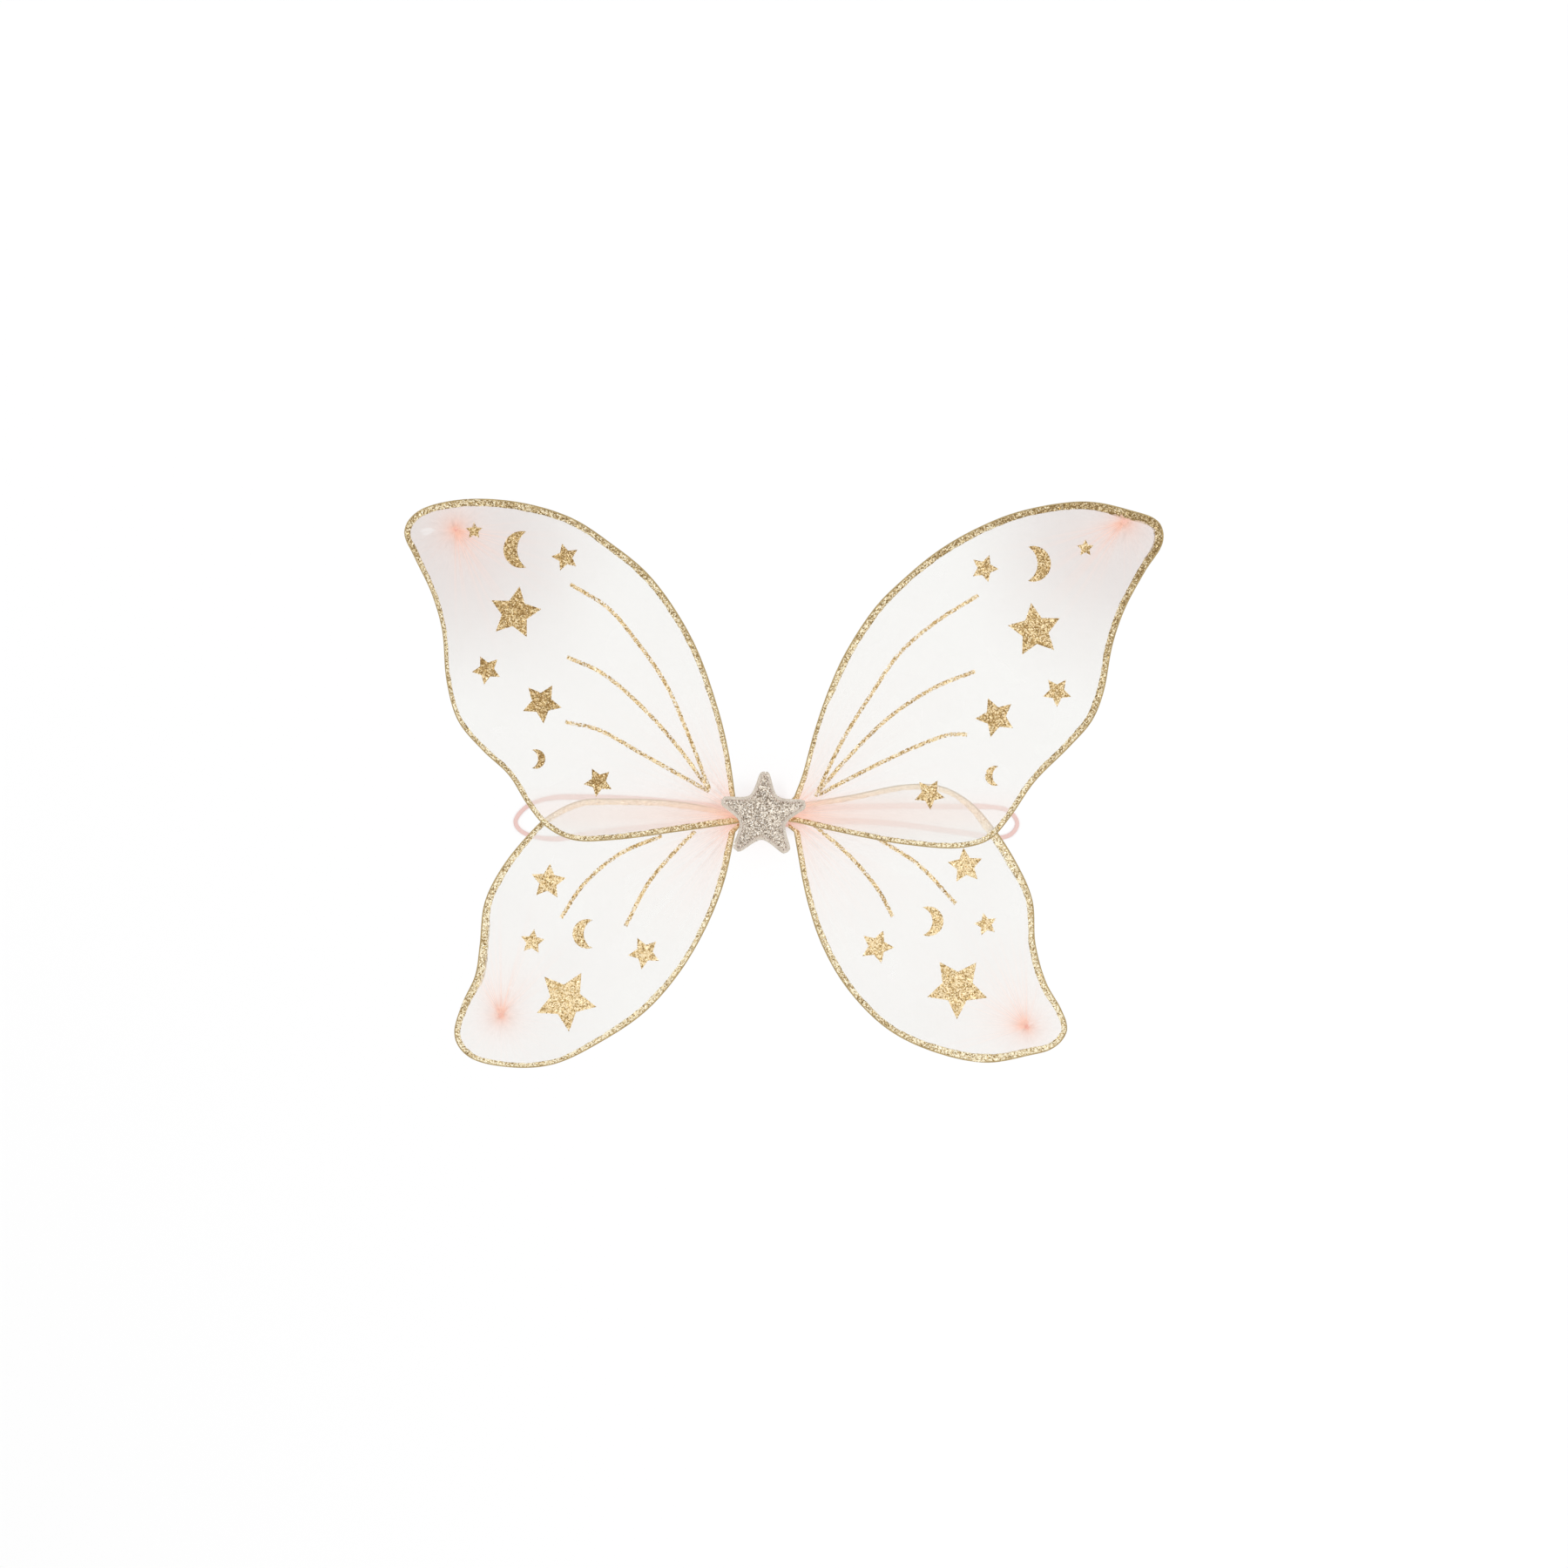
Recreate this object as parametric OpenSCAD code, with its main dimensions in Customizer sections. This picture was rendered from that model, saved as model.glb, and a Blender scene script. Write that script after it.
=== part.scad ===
// Fairy wings: four wire-framed sheer wings tied at a padded star, with two elastic arm loops.
// They lie flat: the wings spread in X and Y, the star faces +Z and the wearer's side is down.
// The origin is under the star's centre, on the back pad's resting face.

/* [Wings] */
// Height of the upper wings' mid-plane over the origin
upper_rise = 11.4; // [11.2:0.1:12]
// Height of the lower wings' mid-plane over the origin
lower_rise = 6.6; // [6.4:0.1:6.8]
// Width of the glitter edging
edging_w = 4.4; // [3.6:0.1:5.2]
// Thickness of the edging, across the wing
edging_t = 2; // [1.8:0.1:2.2]
// Diameter of the frame wire
wire_d = 1.3; // [1:0.1:1.4]
// Thickness of one layer of the sheer sleeve
veil_t = 0.25; // [0.2:0.05:0.4]
// Gap between the two layers of the sleeve
veil_gap = 0.5; // [0.3:0.1:0.8]
// Width of a glitter vein
vein_w = 2.5; // [1:0.1:3]
// Thickness of the glitter prints
print_t = 0.2; // [0.1:0.05:0.3]
// Diameter of the thread-bound tuft near each tip
knot_d = 3.2; // [2:0.2:4]

/* [Centre star] */
// Radius to the star's tips
star_r = 27.8; // [26:0.2:28]
// Radius to the notches between the tips
star_notch = 15; // [13:0.5:16]
// Rounding of the tips
star_tip_r = 2; // [1:0.2:3]
// Angle of the first tip
star_turn = 87.6; // [80:0.1:100]
// Height of the star's backing over the origin
star_z = 16.2; // [16.2:0.1:18]
// Thickness of the padding
padding_t = 4.4; // [3:0.2:6]
// Thickness of the star's face and of its backing
cover_t = 0.9; // [0.6:0.1:1.2]
// Width of the welt round the star
welt_w = 1.8; // [1.4:0.1:2.2]

/* [Bundle and pad] */
// Radius of the pink wrap round the wires
wrap_r = 6.8; // [6.6:0.1:7]
// Radius of the twisted wires inside the wrap
stem_r = 4.6; // [4:0.1:4.8]
// Diameter of the binding thread
thread_d = 0.6; // [0.4:0.1:0.8]
// Turns of binding thread
thread_turns = 7; // [3:1:9]
// Thickness of the back pad
pad_t = 3.2; // [3.2:0.1:3.4]
// Length of the back pad, up the wearer's back
pad_l = 25; // [22:1:28]

/* [Arm loops] */
// Width of the flat elastic
elastic_w = 3.4; // [2.6:0.1:3.6]
// Thickness of the flat elastic
elastic_t = 0.9; // [0.7:0.05:0.9]
// Height of the two sewn anchors
anchor_h = 2.4; // [2:0.1:2.8]

/* [Hidden] */
// Spacing of the points that a curve is drawn with
spacing = 5;
// Steps between two control points, before a curve is spaced evenly
fine = 12;
// The wrap's ends, left and right of the star's centre
wrap_x = [-15, 16];
// The anchors' outer faces, and the gap to the elastic that turns there
anchor_x = [-17, 18];
anchor_gap = 0.6;
anchor_w = 3;
// Room round the wire in the edging's channel
channel_room = 0.1;
knot_above = 1.1;
knot_below = 0.9;
bundle_z = (pad_t + star_z) / 2;
veil_z = veil_gap / 2;
print_z = veil_z + veil_t;
small = 0.01;

gold = "#c9a45a";
orange_gold = "#b98d45";
olive = "#a08a4a";
cream = [0.97, 0.95, 0.93, 0.35];
pink = "#f6c3b3";
pale_pink = "#eecac3";
silver = "#cdbfae";

// A wing is [name, side, rise, reach, outline, stars, moons, veins, knot].
// side is 1 for left, whose outline runs anticlockwise, and -1 for right.
// reach is the outline's furthest X, which touches the surface that the wings lie on.
// A star is [x, y, radius, angle]. A moon is [x, y, height, width, side that its horns point to].
UPPER_LEFT = [
  "upper_left", 1, upper_rise, 227.5,
  [[-20, 11], [-24, 38], [-31, 67], [-47, 110], [-73, 149], [-98, 170], [-123, 186],
   [-158, 196], [-194, 197], [-218, 190], [-225, 180], [-219, 165], [-208, 142],
   [-201, 118], [-198, 85], [-191, 61], [-176, 43], [-159, 27], [-147, 8],
   [-136, -5], [-120, -13], [-95, -13], [-56, -8], [-20, -3]],
  [[-183, 180, 5.5, 90], [-125, 163, 9, 104], [-157, 128, 17, 80],
   [-175, 92, 9.5, 116], [-140, 71, 13, 59], [-104, 21, 9.5, 116]],
  [[-152.7, 168, 23.4, 14.5, 1], [-143.9, 35.6, 12.3, 8.4, -1]],
  [[[-122, 146], [-98, 131], [-80, 110], [-62, 84], [-48, 53], [-34, 17]],
   [[-124, 100], [-102, 90], [-75, 67], [-52, 41], [-34, 16]],
   [[-125, 59], [-104, 54], [-75, 38], [-34, 15]]],
  [-195, 181]];
UPPER_RIGHT = [
  "upper_right", -1, upper_rise, 254.5,
  [[22, 11], [27, 24], [35, 53], [44, 79], [54, 101], [73, 130], [90, 147], [112, 165],
   [136, 179], [164, 190], [204, 196], [231, 191], [249, 184], [251, 174],
   [240, 156], [227, 132], [219, 109], [213, 78], [206, 61], [192, 45], [170, 23],
   [154, 0], [142, -13], [125, -18], [91, -16], [48, -8], [22, -2]],
  [[204, 169, 5.5, 90], [140, 156, 9, 70], [172, 117, 17.5, 98],
   [186, 78, 9.5, 54], [147, 62, 13, 40], [105, 13.5, 10, 58]],
  [[170.8, 159, 22.6, 14.6, -1], [146.6, 25, 12.6, 8.4, 1]],
  [[[136, 139], [109, 122], [86, 102], [68, 76], [50, 47], [33, 12]],
   [[134, 91], [109, 81], [81, 63], [54, 37], [34, 14]],
   [[129, 51], [118, 51], [91, 41], [54, 23], [35, 13]]],
  [229, 186]];
LOWER_LEFT = [
  "lower_left", 1, lower_rise, 195,
  [[-20, -1], [-34, 3], [-62, 7], [-93, 8], [-115, 7], [-134, -2], [-145, -12],
   [-163, -34], [-174, -56], [-177, -82], [-180, -102], [-189, -122], [-193, -140],
   [-185, -151], [-160, -157], [-133, -155], [-102, -140], [-76, -122], [-55, -98],
   [-38, -69], [-27, -41], [-20, -10]],
  [[-136, -42, 11.5, 84], [-146, -80, 8, 83], [-125, -117, 20, 60], [-75, -87, 10.5, 44]],
  [[-111.2, -75, 18.7, 12.7, 1]],
  [[[-64, -13], [-90, -24], [-113, -43], [-128, -65]],
   [[-43, -10], [-54, -21], [-72, -42], [-87, -70]]],
  [-166, -127]];
LOWER_RIGHT = [
  "lower_right", -1, lower_rise, 192.5,
  [[22, 5], [54, 10], [91, 17], [112, 16], [129, 7], [143, -8], [158, -31], [168, -54],
   [170, -82], [177, -107], [187, -125], [190, -136], [183, -145], [166, -150],
   [141, -154], [108, -147], [80, -133], [56, -109], [40, -82], [30, -52], [22, -10]],
  [[128, -32, 11.5, 96], [141, -69, 7.5, 103], [123, -109, 20, 53], [72, -83, 11, 69]],
  [[104.7, -67, 18.8, 13, -1]],
  [[[32, -6], [54, -25], [72, -46], [82, -64]],
   [[73, -15], [98, -31], [122, -56]]],
  [167, -134]];
WINGS = [UPPER_LEFT, LOWER_LEFT, UPPER_RIGHT, LOWER_RIGHT];

// The elastics' centre lines: out from the anchor along the top run and back along the bottom run.
LEFT_ROUTE = [
  [-17.9, 4], [-26, 5], [-44, 7], [-64, 9], [-84, 10.5], [-112, 11.5], [-134, 11], [-149, 6],
  [-157, -4], [-150, -12], [-132, -15], [-112, -12], [-88, -9], [-64, -7], [-44, -5.5],
  [-26, -4.5], [-17.9, -4]];
RIGHT_ROUTE = [
  [18.9, 4], [27, 4.5], [44, 5], [63, 5.5], [91, 6], [119, 5.5], [140, 5.5], [155, 3],
  [161, -6], [152, -14], [126, -11], [104, -8], [84, -5.5], [63, -4], [44, -4],
  [27, -4], [18.9, -4]];

WING_PIECES = ["wire_frame", "glitter_edging", "front_veil", "back_veil", "tip_gather",
  "root_gather", "glitter_stars", "glitter_moons", "glitter_veins"];
CENTRE_PIECES = ["star_face", "star_padding", "star_backing", "star_welt", "stem_bundle",
  "centre_wrap", "binding_thread", "back_pad", "elastic_anchor_left", "elastic_anchor_right",
  "arm_elastic_left", "arm_elastic_right"];

// Curves

// The point at t between b and c of a smooth curve through a, b, c and d
function between(a, b, c, d, t) =
  let (u = sqrt(norm(b - a)), v = sqrt(norm(c - b)), w = sqrt(norm(d - c)),
       m = c - b + v * ((b - a) / u - (c - a) / (u + v)),
       n = c - b + v * ((d - c) / w - (d - b) / (v + w)))
  b * (2 * t ^ 3 - 3 * t ^ 2 + 1) + c * (3 * t ^ 2 - 2 * t ^ 3)
  + m * (t ^ 3 - 2 * t ^ 2 + t) + n * (t ^ 3 - t ^ 2);

// A smooth curve through the control points p
function smooth(p) =
  let (q = concat([2 * p[0] - p[1]], p, [2 * p[len(p) - 1] - p[len(p) - 2]]))
  concat([for (i = [1:len(p) - 1], k = [0:fine - 1]) between(q[i - 1], q[i], q[i + 1], q[i + 2], k / fine)],
         [p[len(p) - 1]]);

// The length of p up to each of its points
function runs(p) =
  [for (i = 0, s = 0; i < len(p); s = s + norm(p[min(i + 1, len(p) - 1)] - p[i]), i = i + 1) s];

// The curve through p, as points about gap apart
function even(p, gap) =
  let (q = smooth(p), s = runs(q), total = s[len(s) - 1], n = round(total / gap),
       x = [for (i = [0:len(q) - 1]) [s[i], q[i][0]]],
       y = [for (i = [0:len(q) - 1]) [s[i], q[i][1]]])
  [for (k = [0:n]) [lookup(k * total / n, x), lookup(k * total / n, y)]];

// The unit vector to the right of p at its point i
function right_of(p, i) =
  let (d = p[min(i + 1, len(p) - 1)] - p[max(i - 1, 0)])
  [d[1], -d[0]] / norm(d);
function beside(p, d) = [for (i = [0:len(p) - 1]) p[i] + d * right_of(p, i)];
function reversed(p) = [for (i = [len(p) - 1:-1:0]) p[i]];
function part_of(p, first, last) = [for (i = [first:last]) p[i]];

// A strip along p whose edges are d1 and d2 to its right
function strip(p, d1, d2) = concat(beside(p, d1), reversed(beside(p, d2)));

// p with its end points moved out by d
function longer(p, d) =
  let (n = len(p) - 1)
  concat([p[0] + d * (p[0] - p[1]) / norm(p[0] - p[1])], part_of(p, 1, n - 1),
         [p[n] + d * (p[n] - p[n - 1]) / norm(p[n] - p[n - 1])]);

// Shapes

// A closed tube along the flat line p, with a round or flattened section
module tube(p, width, height) {
  sides = 8;
  rings = [for (i = [0:len(p) - 1], k = [0:sides - 1])
    let (n = right_of(p, i), a = 360 * (k + 0.5) / sides)
    [each p[i] + n * cos(a) * width / 2, sin(a) * height / 2]];
  walls = [for (i = [0:len(p) - 2], k = [0:sides - 1])
    let (a = i * sides, b = a + sides, next = (k + 1) % sides)
    [a + k, b + k, b + next, a + next]];
  ends = [[for (k = [0:sides - 1]) k],
          [for (k = [sides - 1:-1:0]) (len(p) - 1) * sides + k]];
  polyhedron(rings, concat(walls, ends));
}

// A slab between two heights
module slab(z1, z2) {
  translate([0, 0, z1]) linear_extrude(z2 - z1) children();
}

function star_points(r, notch, turn) =
  [for (i = [0:9]) let (a = turn + 36 * i, d = i % 2 == 0 ? r : notch) d * [cos(a), sin(a)]];

// A star with rounded tips, as a polygon
function soft_star(r, notch, tip_r, turn) =
  let (half = atan2(notch * sin(36), r - notch * cos(36)),
       centre = r - tip_r, arc = 90 - half, steps = 6)
  [for (i = [0:4]) each concat(
    [for (k = [0:steps])
      let (a = turn + 72 * i, b = a - arc + 2 * arc * k / steps)
      centre * [cos(a), sin(a)] + tip_r * [cos(b), sin(b)]],
    [let (a = turn + 72 * i + 36) notch * [cos(a), sin(a)]])];

// A crescent whose horns point along +X
module crescent(h, w, t) {
  r = h / 2;
  tip = w - r;
  belly = -0.25 * r;
  bite = (r ^ 2 - belly ^ 2) / (2 * (tip - belly));
  difference() {
    cylinder(h = t, r = r, $fn = 64);
    translate([bite, 0, -small]) cylinder(h = t + 2 * small, r = bite - belly, $fn = 64);
  }
}

// The wings

function line_of(w) = even(w[4], spacing);
function inner_edge(w) = beside(line_of(w), -w[1] * edging_w / 2);
function slope(w) = asin((w[2] - edging_t / 2) / w[3]);

// Puts a wing's flat pieces in place: they slope down from the centre to rest on the wing's edge
module on_wing(w) {
  translate([0, 0, w[2]]) rotate([0, -w[1] * slope(w), 0]) children();
}

module wire_frame(w) {
  color(olive) on_wing(w) tube(line_of(w), wire_d, wire_d);
}

module glitter_edging(w) {
  half = edging_w / 2;
  channel = wire_d / 2 + channel_room;
  color(gold) on_wing(w) difference() {
    slab(-edging_t / 2, edging_t / 2) polygon(strip(line_of(w), half, -half));
    slab(-channel, channel) polygon(strip(longer(line_of(w), 1), channel, -channel));
  }
}

// One layer of the sleeve, from the root gather to the edging, with a hole for the tuft
module veil(w, z) {
  edge = inner_edge(w);
  color(cream) on_wing(w) difference() {
    slab(z, z + veil_t) polygon(part_of(edge, 1, len(edge) - 2));
    translate([w[8][0], w[8][1], z - small]) cylinder(h = veil_t + 2 * small, d = knot_d, $fn = 32);
  }
}
module front_veil(w) veil(w, veil_z);
module back_veil(w) veil(w, -veil_z - veil_t);

module tip_gather(w) {
  color(pink) on_wing(w) translate([w[8][0], w[8][1], -knot_below])
    cylinder(h = knot_below + knot_above, d = knot_d, $fn = 32);
}

module root_gather(w) {
  edge = inner_edge(w);
  n = len(edge) - 1;
  color(pink) on_wing(w) slab(-veil_z - veil_t, print_z)
    polygon([edge[0], edge[1], edge[n - 1], edge[n]]);
}

module glitter_stars(w) {
  color(gold) on_wing(w) for (s = w[5])
    translate([s[0], s[1], print_z]) linear_extrude(print_t) polygon(star_points(s[2], s[2] / 2, s[3]));
}

module glitter_moons(w) {
  color(gold) on_wing(w) for (m = w[6])
    translate([m[0], m[1], print_z]) rotate(m[4] == 1 ? 0 : 180) crescent(m[2], m[3], print_t);
}

module glitter_veins(w) {
  color(orange_gold) on_wing(w) for (v = w[7])
    slab(print_z, print_z + print_t) polygon(strip(even(v, spacing), vein_w / 2, -vein_w / 2));
}

// The centre

inner_r = star_r - welt_w;
inner_notch = star_notch - welt_w * 0.8;
module star_slab(r, notch, z1, z2) {
  slab(z1, z2) polygon(soft_star(r, notch, star_tip_r, star_turn));
}
padding_z = star_z + cover_t;
face_z = padding_z + padding_t;

module star_backing() color(silver) star_slab(inner_r, inner_notch, star_z, padding_z);
module star_padding() color("white") star_slab(inner_r, inner_notch, padding_z, face_z);
module star_face() color(silver) star_slab(inner_r, inner_notch, face_z, face_z + cover_t);

// The welt is a ring round the other three, a little lower than the face and clear of the wings
module star_welt() {
  welt_inset = 0.4;
  color(silver) difference() {
    star_slab(star_r, star_notch, star_z + welt_inset, face_z + welt_inset);
    star_slab(inner_r, inner_notch, star_z, face_z + cover_t);
  }
}

// Lays a turned piece along X at the bundle's height
module along_bundle() {
  translate([0, 0, bundle_z]) rotate([0, 90, 0]) children();
}

module stem_bundle() {
  color(olive) along_bundle() translate([0, 0, wrap_x[0]])
    cylinder(h = wrap_x[1] - wrap_x[0], r = stem_r, $fn = 48);
}

// The wrap has a waist for the thread, and lies flat on the pad and under the star
module centre_wrap() {
  waist = thread_turns * thread_d / 2;
  waist_r = wrap_r - 1.1;
  easing = 2.5;
  color(pink) intersection() {
    along_bundle() rotate_extrude($fn = 64) polygon([
      [stem_r, wrap_x[0]], [wrap_r - 1, wrap_x[0]], [wrap_r, wrap_x[0] + 2],
      [wrap_r, -waist - easing], [waist_r, -waist], [waist_r, waist],
      [wrap_r, waist + easing], [wrap_r, wrap_x[1] - 2], [wrap_r - 1, wrap_x[1]],
      [stem_r, wrap_x[1]]]);
    translate([wrap_x[0], -wrap_r, pad_t]) cube([wrap_x[1] - wrap_x[0], 2 * wrap_r, star_z - pad_t]);
  }
}

module binding_thread() {
  ring_r = wrap_r - 1.1 + thread_d / 2 + small;
  color("white") along_bundle() for (i = [0:thread_turns - 1])
    translate([0, 0, (i - (thread_turns - 1) / 2) * (thread_d + small)])
      rotate_extrude($fn = 48) translate([ring_r, 0]) circle(d = thread_d, $fn = 16);
}

module back_pad() {
  corner = 8;
  left = anchor_x[0] + anchor_w;
  right = anchor_x[1] - anchor_w;
  color(pale_pink) linear_extrude(pad_t) polygon([
    for (c = [[right - corner, 1, 0], [left + corner, 1, 90], [left + corner, -1, 180], [right - corner, -1, 270]],
         k = [0:6])
      [c[0], c[1] * (pad_l / 2 - corner)] + corner * [cos(c[2] + 15 * k), sin(c[2] + 15 * k)]]);
}

module elastic_anchor(x) {
  length = 12;
  color(pale_pink) translate([x, -length / 2, 0]) cube([anchor_w, length, anchor_h]);
}
module elastic_anchor_left() elastic_anchor(anchor_x[0]);
module elastic_anchor_right() elastic_anchor(anchor_x[1] - anchor_w);

// The arm loops lie on the same surface as the pad
module arm_elastic(route) {
  color(pale_pink) translate([0, 0, elastic_t / 2]) tube(even(route, 2.3 * elastic_w), elastic_w, elastic_t / cos(22.5));
}
module arm_elastic_left() arm_elastic(LEFT_ROUTE);
module arm_elastic_right() arm_elastic(RIGHT_ROUTE);

for (w = WINGS) {
  wire_frame(w);
  glitter_edging(w);
  front_veil(w);
  back_veil(w);
  tip_gather(w);
  root_gather(w);
  glitter_stars(w);
  glitter_moons(w);
  glitter_veins(w);
}
star_face();
star_padding();
star_backing();
star_welt();
stem_bundle();
centre_wrap();
binding_thread();
back_pad();
elastic_anchor_left();
elastic_anchor_right();
arm_elastic_left();
arm_elastic_right();
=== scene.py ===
"""The looks of a pair of fairy wings: sheer sleeves on wire frames, glitter edging and prints, and a padded star.

Everything is in metres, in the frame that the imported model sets. The wings lie flat, with the star's face up.
Outlines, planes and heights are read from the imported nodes, so the looks follow the design.
"""

import logging
import math
from dataclasses import dataclass, field
from enum import Enum
from typing import Iterable, Sequence

import bmesh
import bpy
import numpy as np
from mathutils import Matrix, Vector
from mathutils.geometry import delaunay_2d_cdt


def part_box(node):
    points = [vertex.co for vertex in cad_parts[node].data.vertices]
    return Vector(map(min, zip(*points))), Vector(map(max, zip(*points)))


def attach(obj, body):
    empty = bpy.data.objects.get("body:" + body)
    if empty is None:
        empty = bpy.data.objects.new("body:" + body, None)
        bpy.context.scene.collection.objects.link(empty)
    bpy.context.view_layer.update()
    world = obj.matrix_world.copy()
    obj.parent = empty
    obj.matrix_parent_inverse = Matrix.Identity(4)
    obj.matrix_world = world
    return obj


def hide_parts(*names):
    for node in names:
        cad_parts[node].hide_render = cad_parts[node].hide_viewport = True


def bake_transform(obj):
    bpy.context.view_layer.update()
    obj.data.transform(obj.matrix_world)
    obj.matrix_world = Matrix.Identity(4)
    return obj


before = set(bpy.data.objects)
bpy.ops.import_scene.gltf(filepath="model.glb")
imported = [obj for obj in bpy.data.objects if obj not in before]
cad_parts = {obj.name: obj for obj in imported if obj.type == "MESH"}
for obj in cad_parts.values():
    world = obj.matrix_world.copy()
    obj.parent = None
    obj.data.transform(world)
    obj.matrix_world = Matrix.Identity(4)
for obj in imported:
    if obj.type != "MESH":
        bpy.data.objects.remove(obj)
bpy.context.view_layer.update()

LOG = logging.getLogger("fairy_wings")
MM = 0.001
Colour = tuple[float, float, float]


# ---------------------------------------------------------------- node graphs


class Value:
    """A number in a node graph, on which Python's operators add Math nodes."""

    def __init__(self, graph: "Graph", socket: bpy.types.NodeSocket) -> None:
        """Wraps a socket.

        Args:
            graph: the graph that the socket is in.
            socket: the output that holds the number.
        """
        self.graph = graph
        self.socket = socket

    def __add__(self, other: "Number") -> "Value":
        """self + other."""
        return self.graph.math("ADD", self, other)

    def __radd__(self, other: "Number") -> "Value":
        """other + self."""
        return self.graph.math("ADD", other, self)

    def __sub__(self, other: "Number") -> "Value":
        """self - other."""
        return self.graph.math("SUBTRACT", self, other)

    def __rsub__(self, other: "Number") -> "Value":
        """other - self."""
        return self.graph.math("SUBTRACT", other, self)

    def __mul__(self, other: "Number") -> "Value":
        """self * other."""
        return self.graph.math("MULTIPLY", self, other)

    def __rmul__(self, other: "Number") -> "Value":
        """other * self."""
        return self.graph.math("MULTIPLY", other, self)

    def __pow__(self, other: "Number") -> "Value":
        """self to the power of other."""
        return self.graph.math("POWER", self, other)

    def __rpow__(self, other: "Number") -> "Value":
        """other to the power of self."""
        return self.graph.math("POWER", other, self)

    def __gt__(self, other: "Number") -> "Value":
        """1 where self is above other, and 0 elsewhere."""
        return self.graph.math("GREATER_THAN", self, other)

    def __lt__(self, other: "Number") -> "Value":
        """1 where self is below other, and 0 elsewhere."""
        return self.graph.math("LESS_THAN", self, other)

    def clamped(self) -> "Value":
        """self, held between 0 and 1."""
        return self.graph.math("MINIMUM", self.graph.math("MAXIMUM", self, 0.0), 1.0)

    def smooth(self, low: float, high: float) -> "Value":
        """A smooth step.

        Args:
            low: the number up to which the step is 0.
            high: the number from which it is 1.

        Returns:
            The step.
        """
        ends = {0: self, 1: low, 2: high, 3: 0.0, 4: 1.0}
        node = self.graph.node("ShaderNodeMapRange", {"interpolation_type": "SMOOTHSTEP"}, ends)
        return Value(self.graph, node.outputs[0])


Number = float | Value
Input = object


class Graph:
    """A node tree, with one method that adds any node."""

    def __init__(self, tree: bpy.types.NodeTree) -> None:
        """Takes over an empty tree."""
        self.tree = tree

    def link(self, source: Input, target: bpy.types.NodeSocket) -> None:
        """Joins a value, socket or constant to an input.

        Args:
            source: a Value, an output socket or a constant.
            target: the input.
        """
        if isinstance(source, Value):
            source = source.socket
        if isinstance(source, bpy.types.NodeSocket):
            self.tree.links.new(source, target)
        else:
            target.default_value = source

    def node(self, kind: str, settings: dict | None = None, inputs: dict | None = None) -> bpy.types.Node:
        """Adds a node.

        Args:
            kind: the node's type.
            settings: its properties, set first. stops is a ramp's list of (place, colour).
            inputs: socket name or number to a constant, socket or Value.

        Returns:
            The node.
        """
        node = self.tree.nodes.new(kind)
        for key, value in (settings or {}).items():
            if key == "stops":
                ramp = node.color_ramp.elements
                while len(ramp) < len(value):
                    ramp.new(1.0)
                for element, (place, colour) in zip(ramp, value, strict=True):
                    element.position = place
                    element.color = (*colour, 1.0)
            else:
                setattr(node, key, value)
        for key, value in (inputs or {}).items():
            self.link(value, node.inputs[key])
        return node

    def math(self, operation: str, *values: Number) -> Value:
        """A Math node of that operation on the values."""
        node = self.node("ShaderNodeMath", {"operation": operation}, dict(enumerate(values)))
        return Value(self, node.outputs[0])

    def mix(self, share: Number, low: Input, high: Input) -> bpy.types.NodeSocket:
        """The colour between two others.

        Args:
            share: 0 gives low, and 1 gives high.
            low: a colour, or the socket of one.
            high: a colour, or the socket of one.

        Returns:
            The colour's socket.
        """
        held = {0: share}
        for place, colour in ((6, low), (7, high)):
            held[place] = (*colour, 1.0) if isinstance(colour, tuple) else colour
        return self.node("ShaderNodeMix", {"data_type": "RGBA"}, held).outputs[2]

    def vector(self, operation: str, *values: Input) -> bpy.types.NodeSocket:
        """A Vector Math node of that operation on the values."""
        return self.node("ShaderNodeVectorMath", {"operation": operation}, dict(enumerate(values))).outputs[0]


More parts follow.
